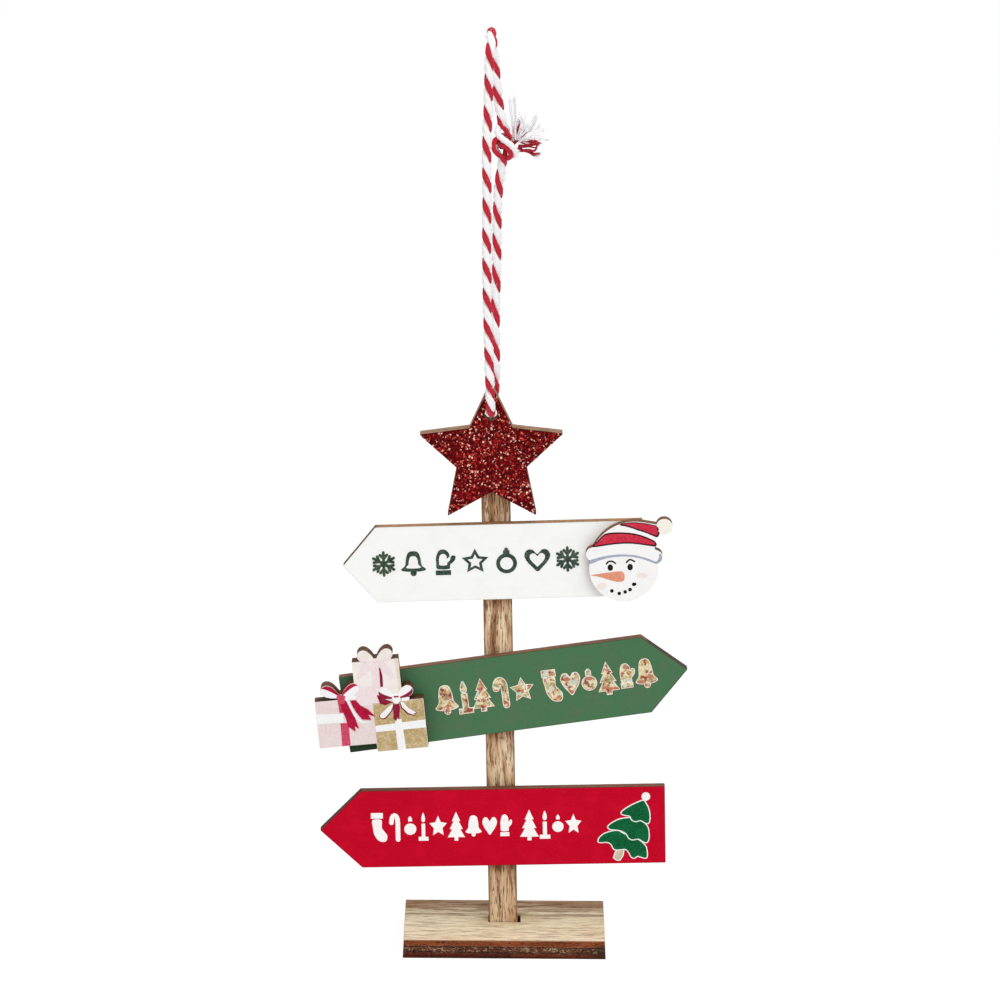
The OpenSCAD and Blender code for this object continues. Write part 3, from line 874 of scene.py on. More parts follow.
def makeTassel(materials):
    chance = random.Random(11)
    threads = []

    def addYarn(kind, run):
        path = smoothPath(run, tassel["ringGap"])[0]
        path = [p + scatter(chance, tassel["wobble"]) for p in path]
        threads.append((kind, path, tassel["yarn"], tassel["yarn"] * 0.8))
        ahead = (path[-1] - path[-3]).normalized()
        for _ in range(tassel["strays"]):  # the yarn's end comes apart
            stray = scatter(chance, tassel["spread"])
            tip = path[-1] + (ahead + stray) * chance.uniform(*tassel["strayReach"])
            threads.append((kind, [path[-2], path[-1] + stray * 0.15, tip],
                            *tassel["strayThick"]))

    for kind, runs in enumerate((tassel["red"], tassel["white"])):
        for run in runs:
            for _ in range(tassel["abreast"]):  # each run is a few yarns side by side
                shift = scatter(chance, tassel["apart"])
                addYarn(kind, [Vector(p) + shift * (0.4 + 0.3 * k) for k, p in enumerate(run)])
    root = Vector(tassel["root"])
    for _ in range(tassel["more"]):
        lift, swing = [math.radians(chance.uniform(*tassel[turn])) for turn in ("lift", "swing")]
        reach = chance.uniform(*tassel["reach"])
        way = Vector((math.cos(lift) * math.cos(swing), math.sin(swing),
                      math.sin(lift) * math.cos(swing)))
        bend = scatter(chance, tassel["spread"])
        run = [root + way * reach * t + bend * t * (1 - t) * 2 for t in (0, 0.35, 0.7, 1)]
        addYarn(0 if math.degrees(lift) < tassel["redBelow"] else 1, run)
    return threadPiece("frayed_ends", threads, materials, ["cord_tassel"])


# Glitter: small plates pressed into the star's front at all angles
glitter = {
    "flakes": 5400,
    "margin": 0.16,     # from a flake's middle to the star's outer edges, not to its hole
    "radius": (0.12, 0.27),
    "thick": 0.03,
    "tilt": 34,
    "proud": 0.09,      # how far in front of the star a flake's middle may lie
    "vary": 0.1,        # how far a flake's tone may be from the one drawn for it
    # painted glints: flakes get tones from dark red to near white at random, standing in for the
    # sparkle of flakes turned to and from the light
    "tones": [  # share of the flakes up to each tone, and the tone
        (0.46, 0.05), (0.7, 0.24), (0.85, 0.46), (0.93, 0.7), (1, 1)],
}


def makeFlakeFinish():
    flake = Finish("redFlake", Roughness=0.34, Specular_IOR_Level=0.06)
    tone = flake.node("ShaderNodeAttribute", {"attribute_name": "tone"}, output=2)
    # painted highlights: the pale pink and near-white end of this ramp stands in for glints off the
    # flakes
    colour = flake.ramp(tone, (0, tint(66, 0, 4)), (0.25, tint(120, 4, 10)),
                        (0.5, tint(184, 30, 30)), (0.75, tint(232, 98, 80)),
                        (1, tint(255, 212, 190)))
    return flake.feed(Base_Color=colour)


def makeGlitter():
    place = (onPost(starPlace["at"], starPlace["turn"])
             @ Matrix.Translation((-starPlace["left"], 0, 0)))
    face = front - starPlace["thick"]
    points = [Vector((math.sin(math.pi * i / 5), math.cos(math.pi * i / 5)))
              * (starPlace["radius"] if i % 2 == 0 else starPlace["inner"]) for i in range(10)]
    chance = random.Random(23)
    shape = bmesh.new()
    tone = shape.faces.layers.float.new("tone")
    made = 0
    while made < glitter["flakes"]:
        spot = Vector([chance.uniform(-1, 1) * starPlace["radius"] for _ in range(2)])
        inside = all((q - p).normalized().cross(spot - p) < -glitter["margin"]
                     for p, q in starSides(points, spot))
        if not inside or (spot - Vector((0, starPlace["holeUp"]))).length < starPlace["hole"] / 2:
            continue
        made += 1
        lean = Matrix.Rotation(math.radians(chance.uniform(0, glitter["tilt"])), 4,
                               Matrix.Rotation(chance.uniform(0, 2 * math.pi), 3, "Y") @ sideways)
        at = Matrix.Translation((spot.x, face - chance.uniform(0, glitter["proud"]), spot.y))
        turned = place @ at @ lean @ Matrix.Rotation(math.radians(90), 4, "X")
        corners = bmesh.ops.create_circle(shape, cap_ends=True, segments=6, matrix=turned,
                                          radius=chance.uniform(*glitter["radius"]))["verts"]
        share = chance.random()
        level = next(value for upTo, value in glitter["tones"] if share <= upTo)
        corners[0].link_faces[0][tone] = level + chance.uniform(-glitter["vary"], glitter["vary"])
    bmesh.ops.solidify(shape, geom=shape.faces[:], thickness=glitter["thick"])
    bmesh.ops.scale(shape, vec=(mm, mm, mm), verts=shape.verts)
    finishPiece("star_flakes", shape, [makeFlakeFinish()])


def starSides(points, spot):
    # the two sides of the arm that the spot is nearest to, seen from the middle
    arm = round(math.atan2(spot.x, spot.y) / (math.pi * 2 / 5)) * 2
    inner, tip, other = points[(arm - 1) % 10], points[arm % 10], points[(arm + 1) % 10]
    return (inner, tip), (tip, other)


# Print: thin layers of ink, drawn in the plane of the board that carries them
ink = {
    "film": 0.02,       # thickness of a layer
    "sunk": 0.03,       # how far each layer reaches into the board
    "colours": {        # each with its paler tone
        "hatRed": (tint(200, 36, 62), tint(216, 62, 84)),
        "outline": (tint(42, 10, 16), tint(62, 20, 26)),
        "cream": (tint(243, 238, 222), tint(248, 245, 234)),
        "shell": (tint(238, 228, 220), tint(246, 239, 234)),
        "brimShade": (tint(160, 167, 186), tint(180, 186, 200)),
        "coal": (tint(12, 8, 12), tint(30, 24, 28)),
        "coalShine": (tint(54, 52, 56), tint(72, 70, 74)),
        "carrot": (tint(222, 142, 112), tint(236, 168, 140)),
        "blush": (tint(241, 226, 220), tint(244, 236, 232)),
        "pink": (tint(230, 212, 211), tint(238, 223, 221)),
        "ribbonWhite": (tint(244, 243, 245), tint(250, 250, 250)),
        "crimson": (tint(168, 6, 52), tint(190, 24, 66)),
        "rose": (tint(198, 52, 84), tint(212, 86, 112)),
        "wine": (tint(128, 14, 44), tint(152, 34, 62)),
        "palePink": (tint(238, 220, 222), tint(244, 232, 233)),
        "straw": (tint(228, 212, 190), tint(240, 230, 216)),
        "gold": (tint(182, 156, 106), tint(212, 194, 154)),
        "fir": (tint(0, 84, 44), tint(6, 110, 62)),
        "snow": (tint(240, 244, 238), tint(252, 252, 250)),
        "trunk": (tint(200, 184, 158), tint(218, 208, 188)),
        "pine": (tint(42, 62, 50), tint(82, 98, 84)),
        "umber": (tint(96, 54, 40), tint(128, 80, 56)),
        "confetti": (tint(226, 208, 164), tint(242, 234, 208)),
        "boardWhite": (tint(248, 248, 246), tint(243, 242, 238)),
        "frost": (tint(255, 255, 252), tint(252, 244, 244)),
    },
    "mottles": [        # scale, the noise between which a mottle appears, its share and its colour
        (0.62, (0.5, 0.56), 0.85, tint(204, 168, 104)),
        (0.71, (0.52, 0.57), 0.85, tint(186, 104, 88)),
        (0.83, (0.55, 0.6), 0.8, tint(148, 150, 104)),
        (0.95, (0.56, 0.6), 0.85, tint(128, 50, 48)),
        (0.78, (0.57, 0.61), 0.8, tint(206, 218, 206))],
}


def makeInk(name, colour, pale):
    paint = Finish(name, Roughness=0.5, Specular_IOR_Level=0.1)
    spot = paint.place()
    dots = paint.noise(spot, scale=2.2, detail=3.0, roughness=0.7)
    cloud = paint.noise(spot, scale=0.4, detail=2.0)
    shown = paint.mix(dots.step(0.46, 0.6) * 0.7 + cloud.step(0.45, 0.6) * 0.3, colour, pale)
    if name == "confettiInk":  # the motifs of the green board are mottled with ochre, red and olive
        for scale, (low, high), share, over in ink["mottles"]:
            spots = paint.noise(spot, scale=scale, detail=2.0, roughness=0.6)
            shown = paint.mix(spots.step(low, high) * share, shown, over)
    return paint.feed(Base_Color=shown, Normal=paint.bump(dots, 0.02, 0.4))


def roundOff(outline):  # a smooth closed outline through the given points
    given = [Vector(p) for p in outline]
    count = len(given)
    fine = []
    for i in range(count):
        four = [given[(i + k) % count] for k in (-1, 0, 1, 2)]
        fine += [between(*four, j / 4) for j in range(4)]
    return fine


def grow(outline, by):  # the outline moved outwards
    given = [Vector(p) for p in outline]
    area = sum(a.cross(b) for a, b in zip(given, given[1:] + given[:1]))
    by = math.copysign(1, area) * by
    grown = []
    for before, point, after in zip(given[-1:] + given[:-1], given, given[1:] + given[:1]):
        edges = [(point - before).normalized(), (after - point).normalized()]
        normals = [Vector((e.y, -e.x)) for e in edges]
        out = (normals[0] + normals[1]).normalized()
        grown.append(point + out * by / max(0.6, out.dot(normals[1])))
    return grown


def ribbon(run, width):  # the outline of a line with round ends
    points = [Vector(p) for p in run]
    left, right = [], []
    for i, point in enumerate(points):
        ahead = (points[min(i + 1, len(points) - 1)] - points[max(i - 1, 0)]).normalized()
        out = Vector((-ahead.y, ahead.x)) * width / 2
        left.append(point + out)
        right.append(point - out)
        if i == 0:
            first = [point - out * math.cos(a) - ahead * width / 2 * math.sin(a)
                     for a in (0.8, 1.57, 2.34)]
        last = [point + out * math.cos(a) + ahead * width / 2 * math.sin(a)
                for a in (0.8, 1.57, 2.34)]
    return left + last + right[::-1] + first


def disc(x, z, wide, tall=None, turn=0):
    turn, points = math.radians(turn), []
    for i in range(20):
        u, v = wide * math.cos(math.pi * i / 10), (tall or wide) * math.sin(math.pi * i / 10)
        points.append((x + u * math.cos(turn) - v * math.sin(turn),
                       z + u * math.sin(turn) + v * math.cos(turn)))
    return points


def printPiece(name, place, face, layers):
    # layers: ink, level above the board and outline
    shape = bmesh.new()
    names = list(dict.fromkeys(colour for colour, level, outline in layers))
    for colour, level, outline in layers:
        rim = [shape.verts.new(place @ Vector((u, face + ink["sunk"], v))) for u, v in outline]
        sheet = bmesh.ops.contextual_create(
            shape, geom=[shape.edges.new(pair) for pair in zip(rim, rim[1:] + rim[:1])])["faces"]
        made = bmesh.ops.extrude_face_region(shape, geom=sheet)["geom"]
        moved = [e for e in made if isinstance(e, bmesh.types.BMVert)]
        bmesh.ops.translate(shape, vec=(0, -ink["sunk"] - ink["film"] * level, 0), verts=moved)
        for part in {f for v in rim + moved for f in v.link_faces}:
            part.material_index = names.index(colour)
    return finishDrawn(name, shape, [inks[colour] for colour in names])


# Snowman's face and hat, from the centre of the face
headPlace = {"right": 22.7, "down": 1.45}
headLayers = [
    ("outline", 1, grow(roundOff([
        (-5.95, 4.72), (-5.1, 5.6), (-4.15, 6.62), (-3.3, 7.2), (-1.7, 7.36), (0, 7.32),
        (1.8, 7.12), (3.5, 6.68), (5.1, 6), (6.35, 5.25), (6.45, 4.55), (5.1, 4.72), (3, 5.08),
        (1.2, 5.27), (-1, 5.25), (-3.4, 5.02)]), 0.16)),
    ("hatRed", 2, roundOff([
        (-5.7, 4.86), (-5, 5.6), (-4.1, 6.54), (-3.25, 7.07), (-1.7, 7.22), (0, 7.18), (1.8, 6.98),
        (3.5, 6.54), (5.1, 5.85), (6.2, 5.2), (6.25, 4.75), (5.1, 4.86), (3, 5.22), (1.2, 5.41),
        (-1, 5.39), (-3.4, 5.17)])),
    ("outline", 1, grow(roundOff([
        (-0.4, 9.08), (0.75, 9.32), (2.4, 9.4), (4.4, 9.15), (6.2, 8.72), (7.1, 8.45), (7.45, 7.95),
        (7.25, 7.2), (6.85, 6.4), (5.8, 6.82), (4.8, 7.28), (3.7, 7.7), (3.2, 7.85), (2, 8.36),
        (0.7, 8.8)]), 0.12)),
    ("hatRed", 2, roundOff([
        (0, 9.1), (0.9, 9.28), (2.4, 9.36), (4.4, 9.11), (6.2, 8.66), (6.95, 8.4), (7.2, 7.95),
        (7, 7.3), (6.75, 6.68), (5.75, 7.02), (4.75, 7.5), (3.7, 7.9), (2.1, 8.52), (0.9, 8.92)])),
    ("cream", 2, disc(8.3, 8.4, 1.5)),
    ("brimShade", 1, roundOff([
        (-6.72, 1.78), (-6.1, 2.05), (-4.72, 2.42), (-2.88, 2.76), (-1.04, 2.9), (0.49, 2.86),
        (2.01, 2.71), (3.54, 2.34), (5.05, 1.82), (6.3, 1.25), (6.55, 0.98), (6.3, 0.8),
        (5.04, 1.34), (3.53, 1.92), (2.01, 2.29), (0.48, 2.44), (-1.05, 2.45), (-2.89, 2.25),
        (-4.73, 1.8), (-5.96, 1.28), (-6.66, 1.1)])),
    ("brimShade", 1, roundOff([
        (7.2, 2.85), (7.6, 2.6), (7.72, 1.95), (7.5, 1.3), (7, 0.88), (6.45, 0.8), (6.5, 1.2),
        (6.9, 1.6), (7.1, 2.1)])),
    ("coal", 1, disc(-2.66, 0.23, 0.55, 0.68)),
    ("coal", 1, disc(1.3, 0.22, 0.55, 0.68)),
    ("coalShine", 2, disc(-2.62, 0.38, 0.1, 0.14)),
    ("coalShine", 2, disc(1.36, 0.36, 0.1, 0.14)),
    ("coal", 1, ribbon(smoothPath([(-3.4, 1.02), (-3.1, 1.4), (-2.5, 1.55), (-2, 1.38),
                                   (-1.63, 1.06)], 0.15)[0], 0.33)),
    ("coal", 1, ribbon(smoothPath([(0.6, 1.18), (0.92, 1.58), (1.38, 1.77), (1.8, 1.6),
                                   (2.2, 1.36)], 0.15)[0], 0.33)),
    ("carrot", 1, roundOff([
        (-6.6, -1.3), (-4.95, -1), (-2.65, -0.75), (-1.12, -0.62), (-0.35, -0.68), (0.09, -1.2),
        (0.15, -2), (-0.12, -2.6), (-0.86, -2.81), (-1.93, -2.65), (-3.75, -2.06),
        (-5.42, -1.53)])),
    ("blush", 1, disc(-4.5, -3.65, 1.05, 0.7, 18)),
    ("blush", 1, disc(3.6, -1.6, 1.1, 0.6, -4)),
    ("coal", 1, disc(-2.46, -4.65, 0.38)),
    ("coal", 1, disc(-0.99, -5.22, 0.37)),
    ("coal", 1, disc(0.19, -4.93, 0.37)),
    ("coal", 1, disc(1.17, -4.47, 0.38)),
    ("coal", 1, disc(1.95, -3.4, 0.38)),
    ("coal", 1.2, disc(2.2, -3.36, 0.3)),
]

# Presents, from the gold present's lower left corner
giftPlace = {"right": -25, "down": 7.65, "turn": -2.45}
bows = {  # knot, length, width and angle of the loops
    "pink": {"knot": (-6.2, 12.15), "length": 4.4, "width": 2.5, "angle": 30},
    "gold": {"knot": (4.9, 11), "length": 3.9, "width": 2.4, "angle": 29},
    "top": {"knot": (1.5, 19.15), "length": 3.9, "width": 2.5, "angle": 27},
}


def loopPart(name, way, low, high):  # part of a bow's loop, between two shares of its half width
    bow = bows[name]
    knotX, knotZ = bow["knot"]
    turn = math.radians(bow["angle"])
    upper, lower = [], []
    for i in range(13):
        t = math.pi * i / 12
        along = bow["length"] * 0.97 * (1 - math.cos(t)) / 2
        half = bow["width"] / 2 * math.sin(t) * math.sin(t / 2) / 0.77
        for rim, share in ((upper, high), (lower, low)):
            rim.append((knotX + way * (along * math.cos(turn) - share * half * math.sin(turn)),
                        knotZ + along * math.sin(turn) + share * half * math.cos(turn)))
    return upper + lower[-2:0:-1]


giftLayers = [
    ("pink", 1, [(-11.45, 1.9), (0.25, 1.9), (0.25, 11.6), (-11.45, 11.6)]),
    ("palePink", 2, [(-3.1, 9.95), (1.7, 9.95), (1.95, 13.6), (-2.95, 14.3)]),
    ("straw", 1.2, [(5.6, 10.5), (6.05, 10.5), (6.05, 19.2), (5.4, 19.2)]),
    ("ribbonWhite", 4.7, [(-6.3, 11.5), (-3.3, 11.5), (-3, 12.3), (-4.5, 12.6), (-5.8, 12.2)]),
    ("ribbonWhite", 5.5, [(5.9, 10.2), (7.4, 10.3), (7.6, 10.9), (6.2, 11.2)]),
    ("gold", 3, [(0.1, 0.1), (10.2, 0.1), (10.2, 10.3), (0.1, 10.3)]),
    ("ribbonWhite", 2.2, [(-11.45, 9.05), (-5.99, 8.73), (-6.19, 6.86), (-11.45, 6.98)]),
    ("rose", 3.2, [(-6.83, 6.73), (-5.21, 6.67), (-5.28, 1.9), (-6.96, 1.9)]),
    ("rose", 3.4, [(-6.9, 11.9), (-5.1, 11.9), (-5.17, 8.75), (-6.77, 9)]),
    ("crimson", 4.2, loopPart("pink", -1, 0.0, 0.9)),
    ("ribbonWhite", 5, loopPart("pink", -1, -0.9, 0.22)),
    ("crimson", 4.4, loopPart("pink", 1, 0.1, 0.9)),
    ("ribbonWhite", 5.2, loopPart("pink", 1, -0.9, 0.3)),
    ("ribbonWhite", 5.4, roundOff([(-5.3, 11.5), (-4.6, 11.3), (-4.21, 10.18), (-3.35, 8.01),
                                   (-2.39, 6.87), (-0.62, 6.51), (-2.62, 6.42), (-3.75, 7.67),
                                   (-4.6, 9.6)])),
    ("crimson", 6, [(-6.62, 11.36), (-5.85, 11.76), (-5.17, 11.41), (-4.61, 9.83), (-3.83, 7.77),
                    (-3.19, 5.24), (-4.03, 5.89), (-3.97, 4.75), (-5.3, 5.82), (-5.58, 7.46),
                    (-6.24, 9.8)]),
    ("crimson", 6.2, [(-4.36, 11.33), (-3.28, 11.32), (-2.41, 10.1), (-0.98, 9.11), (0.38, 7.46),
                      (-1.09, 8.07), (-0.58, 6.89), (-2.36, 7.15), (-3.3, 8.57), (-3.96, 9.96)]),
    ("rose", 7, roundOff([(-7, 12.45), (-6.2, 12.75), (-5.3, 12.4), (-5.4, 11.8), (-5.6, 10.9),
                          (-6.5, 10.9), (-6.9, 11.7)])),
    ("palePink", 2.6, [(0.65, 18.9), (2.17, 18.8), (1.93, 13.57), (0.3, 13.54)]),
    ("palePink", 2.8, roundOff([(0.71, 19.1), (0.55, 17.69), (-0.84, 16.49), (-2.54, 15.8),
                                (-1.62, 17.7), (-0.41, 18.92)])),
    ("palePink", 3, roundOff([(2.21, 18.85), (3.51, 18.35), (4.72, 16.15), (4.98, 15.17),
                              (3.29, 16.28), (2.34, 17.51)])),
    ("wine", 3.6, [(2.1, 17.82), (2.41, 17.32), (2.61, 15.78), (2.51, 13.66), (1.98, 13.6),
                   (2.04, 15.84)]),
    ("shell", 3.8, loopPart("top", -1, -0.9, 0.9)),
    ("shell", 4, loopPart("top", 1, -0.9, 0.9)),
    ("palePink", 4.6, loopPart("top", -1, -0.9, -0.45)),
    ("palePink", 4.8, loopPart("top", 1, -0.9, -0.5)),
    ("palePink", 5, disc(1.5, 19.1, 0.45)),
    ("ribbonWhite", 4, [(0.1, 5.54), (10.2, 5.94), (10.2, 4.24), (0.1, 4.22)]),
    ("ribbonWhite", 5.6, [(4.2, 6.6), (5.5, 6.5), (5.6, 4.2), (5.78, 0.12), (4.13, 0.12),
                          (4.1, 4.2)]),
    ("wine", 5.8, loopPart("gold", -1, -0.9, 0.0)),
    ("wine", 5.9, [(1.07, 11.94), (2.28, 11.73), (2.72, 10.84), (4.11, 10.23), (2.61, 9.71),
                   (1.56, 10.09)]),
    ("ribbonWhite", 6.4, loopPart("gold", -1, -0.25, 0.9)),
    ("wine", 6, loopPart("gold", 1, -0.9, 0.0)),
    ("ribbonWhite", 6.6, loopPart("gold", 1, -0.3, 0.9)),
    ("wine", 6.1, grow(roundOff([(4.06, 9.76), (3.74, 8.46), (2.32, 6.99), (1.43, 7.07),
                                 (1.32, 7.75), (2.69, 8.75)]), 0.1)),
    ("ribbonWhite", 6.8, roundOff([(4.06, 9.86), (3.6, 8.5), (2.22, 7.13), (1.43, 7.17),
                                   (1.32, 7.8), (2.6, 8.85)])),
    ("wine", 6.2, grow([(5.54, 10.09), (6.24, 9.93), (7, 8.53), (8.61, 7.52), (7.95, 7.2),
                        (8.36, 6.88), (6.89, 7.49), (5.77, 8.84)], 0.1)),
    ("ribbonWhite", 7, [(5.6, 10.19), (6.3, 10), (7.1, 8.65), (8.6, 7.6), (7.95, 7.32), (8.3, 7.02),
                        (6.99, 7.66), (5.9, 8.95)]),
    ("wine", 7.4, [(4.13, 9.7), (5.32, 9.73), (5.43, 9.06), (5.01, 6.44), (4.71, 7.04), (4.4, 6.12),
                   (3.92, 6.74)]),
    ("ribbonWhite", 8, roundOff([(4.22, 11.6), (5.56, 11.6), (5.6, 10.4), (4.9, 9.8),
                                 (4.2, 10.3)])),
    ("wine", 9, [(4.42, 11.5), (5.45, 11.46), (5.4, 11.14), (4.44, 11.16)]),
]

# Fir tree at the red board's square end, from the post's axis
treeUp = 25.2
treeTiers = [
    [(22.02, -1.36), (20.62, -1.91), (19.75, -2.72), (19.51, -3.45), (19.97, -3.74), (21.37, -3.7),
     (22.14, -4.16), (22.75, -5.24), (24, -5.34), (25.08, -5.28), (25.7, -5.95), (26.23, -6.94),
     (26.85, -7.2), (27.48, -6.8), (28.33, -7.06), (29.18, -7.24), (29.5, -6.67), (29.43, -5.52),
     (29.13, -4.53), (27.9, -3.3), (26.5, -2.6), (24.89, -1.9), (23.57, -1.2)],
    [(25.63, 1.53), (24.07, 1.31), (22.67, 0.68), (21.65, -0.12), (21.59, -0.62), (22.18, -0.96),
     (23.73, -1.15), (25.12, -1.83), (25.73, -2.83), (26.51, -3.25), (27.75, -3.11), (28.52, -3.61),
     (29.3, -3.91), (29.77, -3.39), (29.91, -2.08), (29.57, -0.35), (28.18, 0.9), (26.4, 1.4)],
    [(28.86, 5.2), (27.53, 4.78), (25.66, 3.83), (24.4, 2.86), (24.4, 2.32), (25.17, 2.03),
     (26.02, 1.85), (26.4, 1.02), (27.25, 0.68), (28.19, 0.87), (29.04, 0.4), (29.66, 0.22),
     (30.05, 0.71), (30.11, 2.19), (29.85, 3.51), (29.39, 4.5)],
]
treeTrunk = [(23.37, -5.3), (24.69, -5.2), (24.48, -6.58), (23.89, -7.5), (23.27, -7.5),
             (22.73, -7.04), (22.93, -6.31)]
treeLayers = [("snow", 1, grow(treeTrunk, 0.2)), ("trunk", 2, treeTrunk)]
for level, tier in enumerate(treeTiers):
    treeLayers += [("snow", 3 + 2 * level, grow(roundOff(tier), 0.12)),
                   ("fir", 4 + 2 * level, grow(roundOff(tier), -0.1))]
treeLayers.append(("snow", 9, disc(29.33, 6.01, 0.88)))


# Rows of winter motifs, each drawn from -1 to 1 both ways
def bothSides(half):  # an even outline from its right half, top to bottom
    return half + [(-x, z) for x, z in reversed(half) if x]


def bar(left, low, right, high):
    return [(left, low), (right, low), (right, high), (left, high)]


flakeArms = []
for i in range(3):
    way = Vector((math.sin(math.pi * i / 3), math.cos(math.pi * i / 3)))
    side = Vector((way.y, -way.x))
    flakeArms.append([tuple(-way), tuple(way)])
    for end in (1, -1):
        for hand in (1, -1):
            flakeArms.append([tuple(way * 0.44 * end),
                              tuple((way * 0.78 + side * 0.3 * hand) * end)])
star = [(math.sin(math.pi * i / 5) * (1 if i % 2 == 0 else 0.5),
         math.cos(math.pi * i / 5) * (1 if i % 2 == 0 else 0.5)) for i in range(10)]
bell = bothSides([(0, 0.96), (0.38, 0.84), (0.56, 0.36), (0.64, -0.18), (0.96, -0.52), (0.6, -0.66),
                  (0, -0.68)])
heart = bothSides([(0, 0.5), (0.34, 0.86), (0.74, 0.84), (0.96, 0.4), (0.74, -0.16), (0.34, -0.64),
                   (0, -0.98)])
mitten = [(-0.5, -0.5), (0.44, -0.5), (0.5, -0.2), (0.84, 0.08), (0.96, 0.42), (0.72, 0.52),
          (0.48, 0.32), (0.44, 0.68), (0.1, 0.98), (-0.36, 0.9), (-0.6, 0.4), (-0.6, -0.1)]
motifs = {  # soft outlines are rounded, plain ones are not; a hole is a smaller copy about a point
    "flake": [("line", arm) for arm in flakeArms],
    "star": [("plain", star)],
    "starRing": [("plain", star), ("hole", (star, (0, 0), 0.56))],
    "fir": [("plain", bothSides([(0, 1), (0.48, 0.36), (0.28, 0.36), (0.76, -0.2), (0.46, -0.2),
                                 (1, -0.76), (0.22, -0.76), (0.22, -1)]))],
    "bell": [("soft", bell), ("disc", (0, -0.8, 0.24))],
    "bellRing": [("soft", bell), ("disc", (0, -0.8, 0.24)), ("softHole", (bell, (0, -0.02), 0.6))],
    "bauble": [("disc", (0, -0.2, 0.82)), ("plain", bar(-0.26, 0.5, 0.26, 0.8)),
               ("disc", (0, 0.86, 0.16))],
    "baubleRing": [("disc", (0, -0.2, 0.84)), ("plain", bar(-0.26, 0.5, 0.26, 0.8)),
                   ("disc", (0, 0.86, 0.16)), ("clear", (0, -0.2, 0.52))],
    "heart": [("soft", heart)],
    "heartRing": [("soft", heart), ("softHole", (heart, (0, 0.08), 0.6))],
    "cane": [("line", [(0.36, -0.86), (0.36, 0.3), *[(-0.06 + 0.42 * math.cos(a),
                                                      0.36 + 0.46 * math.sin(a))
                                                     for a in (0.4, 0.8, 1.2, 1.57, 2, 2.4, 2.8)],
                       (-0.5, 0.3)])],
    "mitten": [("soft", mitten), ("plain", bar(-0.66, -0.98, 0.56, -0.62))],
    "mittenRing": [("soft", mitten), ("plain", bar(-0.66, -0.98, 0.56, -0.62)),
                   ("softHole", (mitten, (-0.04, 0.2), 0.58))],
    "candle": [("plain", bar(-0.34, -0.74, 0.34, 0.22)), ("plain", bar(-0.9, -1, 0.9, -0.72)),
               ("soft", [(0, 1), (0.34, 0.62), (0.22, 0.36), (-0.22, 0.36), (-0.34, 0.62)])],
    "stocking": [("soft", [(-0.54, 0.5), (0.38, 0.5), (0.4, 0), (0.66, -0.28), (0.96, -0.58),
                           (0.78, -0.96), (0.1, -0.92), (-0.38, -0.5), (-0.52, 0)]),
                 ("plain", bar(-0.7, 0.6, 0.54, 0.98))],
}
rows = {
    "white": {"colour": "pine", "start": -25, "end": 16.5, "middle": 0.2, "line": 0.56,
              "motifs": [("flake", 4.7, 4.8), ("bellRing", 5.2, 5.2), ("mittenRing", 5, 5.4),
                         ("starRing", 5.6, 5.4), ("baubleRing", 5, 5.4), ("heartRing", 5.4, 4.9),
                         ("flake", 4.7, 4.8)]},
    "green": {"colour": "confetti", "start": -13, "end": 32, "middle": 0.35, "line": 1.15,
              "edge": 0.15, "motifs": [("bell", 4.5, 6.2), ("candle", 3, 6.6), ("fir", 4.1, 6.7),
                                       ("cane", 3.8, 6.4),
                         ("star", 4.6, 4.9), None, ("stocking", 4.2, 6.7), ("heart", 3.9, 4.7),
                         ("bauble", 3.5, 5), ("fir", 4, 6.7), ("mitten", 3.6, 5),
                                       ("bell", 4.3, 6.2)]},
    "red": {"colour": "frost", "start": -27, "end": 16.3, "middle": 0.4, "line": 0.95,
            "motifs": [("stocking", 3.9, 6.3), ("cane", 3, 6.2), ("bauble", 3, 4.7),
                       ("candle", 2.2, 6), ("star", 3.7, 4.6), ("fir", 3.5, 6.2),
                       ("bell", 3.4, 4.7), ("heart", 3.1, 4), ("mitten", 3, 4.7), None,
                       ("fir", 3.8, 6.6), ("candle", 2.4, 6), ("bauble", 2.8, 4.4),
                       ("star", 3.4, 4.5)]},
}


def smaller(outline, middle, share):
    return [(middle[0] + (x - middle[0]) * share, middle[1] + (z - middle[1]) * share)
            for x, z in outline]


def drawMotif(name, at, size, line, edge):  # ink or hole, and outline, for each part of a motif
    def placed(points):
        return [(at[0] + x * size[0] / 2, at[1] + z * size[1] / 2) for x, z in points]

    drawn = []
    for kind, form in motifs[name]:
        if kind == "line":
            outline = ribbon(placed(form), line + 2 * edge)
        elif kind in ("disc", "clear"):
            x, z, radius = form
            outline = grow(placed(disc(x, z, radius, radius * size[0] / size[1])), edge)
        else:
            solid = smaller(*form) if "ole" in kind else form
            outline = grow(placed(solid), edge)
            outline = roundOff(outline) if "soft" in kind else outline
        drawn.append((kind in ("hole", "softHole", "clear"), outline))
    return drawn


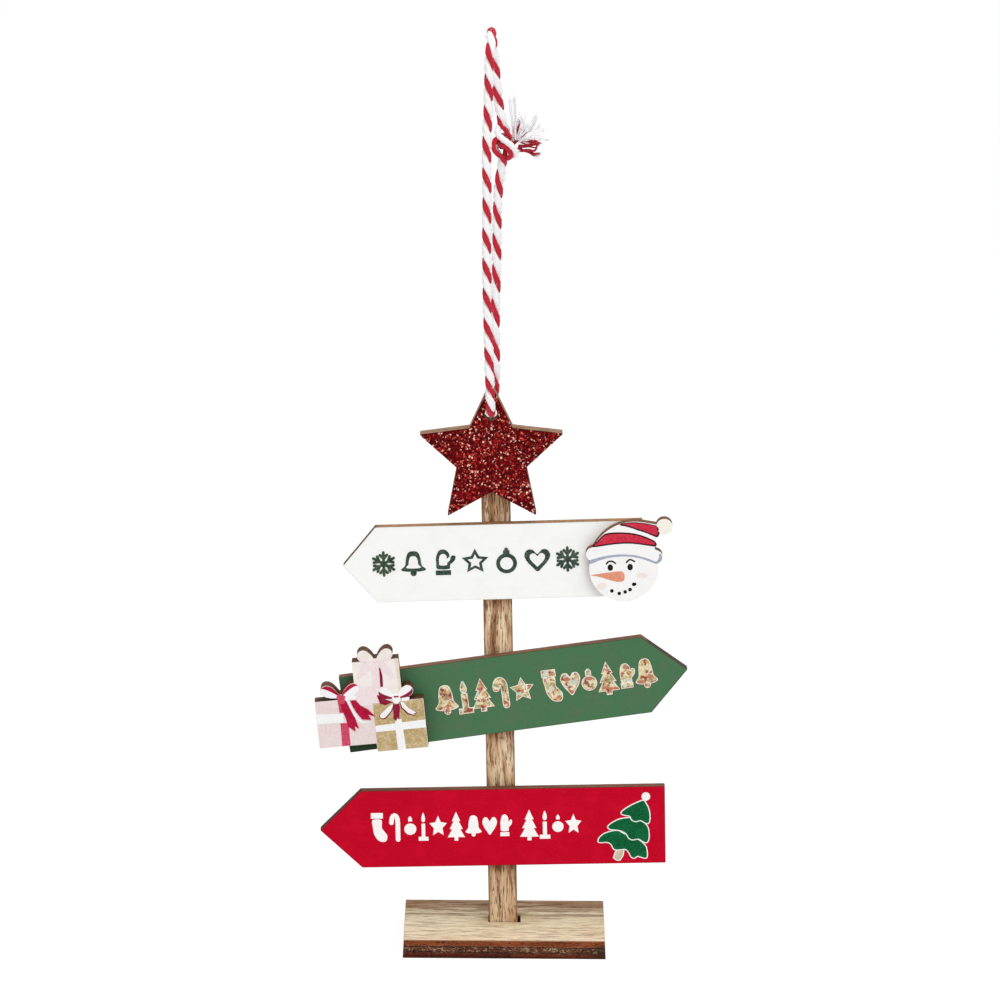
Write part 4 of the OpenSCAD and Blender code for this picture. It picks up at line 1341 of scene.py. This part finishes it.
def rowLayers(row):
    widths = [m[1] if m else 1.4 for m in row["motifs"]]
    space = (row["end"] - row["start"] - sum(widths)) / (len(widths) - 1)
    layers, left = [], row["start"]
    for motif, width in zip(row["motifs"], widths):
        if motif:
            name, wide, tall = motif
            spot = (left + width / 2, row["middle"])
            if row.get("edge"):
                for i, (hole, outline) in enumerate(drawMotif(name, spot, (wide, tall), row["line"],
                                                              row["edge"])):
                    layers.append(("umber", 1 + 0.2 * i, [(x + 0.08, z - 0.1) for x, z in outline]))
                    layers.append(("cream", 2 + 0.2 * i, outline))
            for i, (hole, outline) in enumerate(drawMotif(name, spot, (wide, tall), row["line"],
                                                          0)):
                layers.append(("boardWhite" if hole else row["colour"],
                               (6 if hole else 3) + 0.2 * i, outline))
        left += width + space
    return layers


print("camera and studio")
makeCamera()
makeStudio()
print("twine")
redPly = makePly("redPly", tint(236, 92, 98), tint(188, 32, 52), tint(132, 6, 28))
whitePly = makePly("whitePly", tint(255, 255, 255), tint(250, 249, 250), tint(228, 227, 231))
loose = [makeThread("redThread", tint(198, 44, 62), tint(150, 22, 40)),
         makeThread("whiteThread", tint(255, 255, 255), tint(250, 248, 250))]
twineLoop, twinePath, twineLength = makeTwine(redPly, whitePly)
hairs = makeHairs(twinePath, loose)
tiedKnot = makeKnot(redPly, whitePly)
frayedEnds = makeTassel(loose)
twineLength * mm
[p * mm for p in twinePath]
print("wood")
makeWood()
print("glitter")
makeGlitter()
print("print")
inks = {name: makeInk(name + "Ink", *tones) for name, tones in ink["colours"].items()}
headAt = onBoard("white") @ Matrix.Translation((headPlace["right"], 0, -headPlace["down"]))
printPiece("snowman_print", headAt, front - boardThick - headThick, headLayers)
giftAt = (onBoard("green") @ Matrix.Translation((giftPlace["right"], 0, -giftPlace["down"]))
          @ tilt(giftPlace["turn"]))
printPiece("presents_print", giftAt, front - boardThick - giftThick, giftLayers)
treeAt = onPost(treeUp, boards["red"]["turn"])
printPiece("tree_print", treeAt, front - boardThick, treeLayers)
for name, row in rows.items():
    place = onPost(boards[name]["at"], boards[name]["turn"])
    printPiece(name + "_motifs", place, front - boardThick, rowLayers(row))

bpy.context.scene.view_settings.view_transform = "Standard"
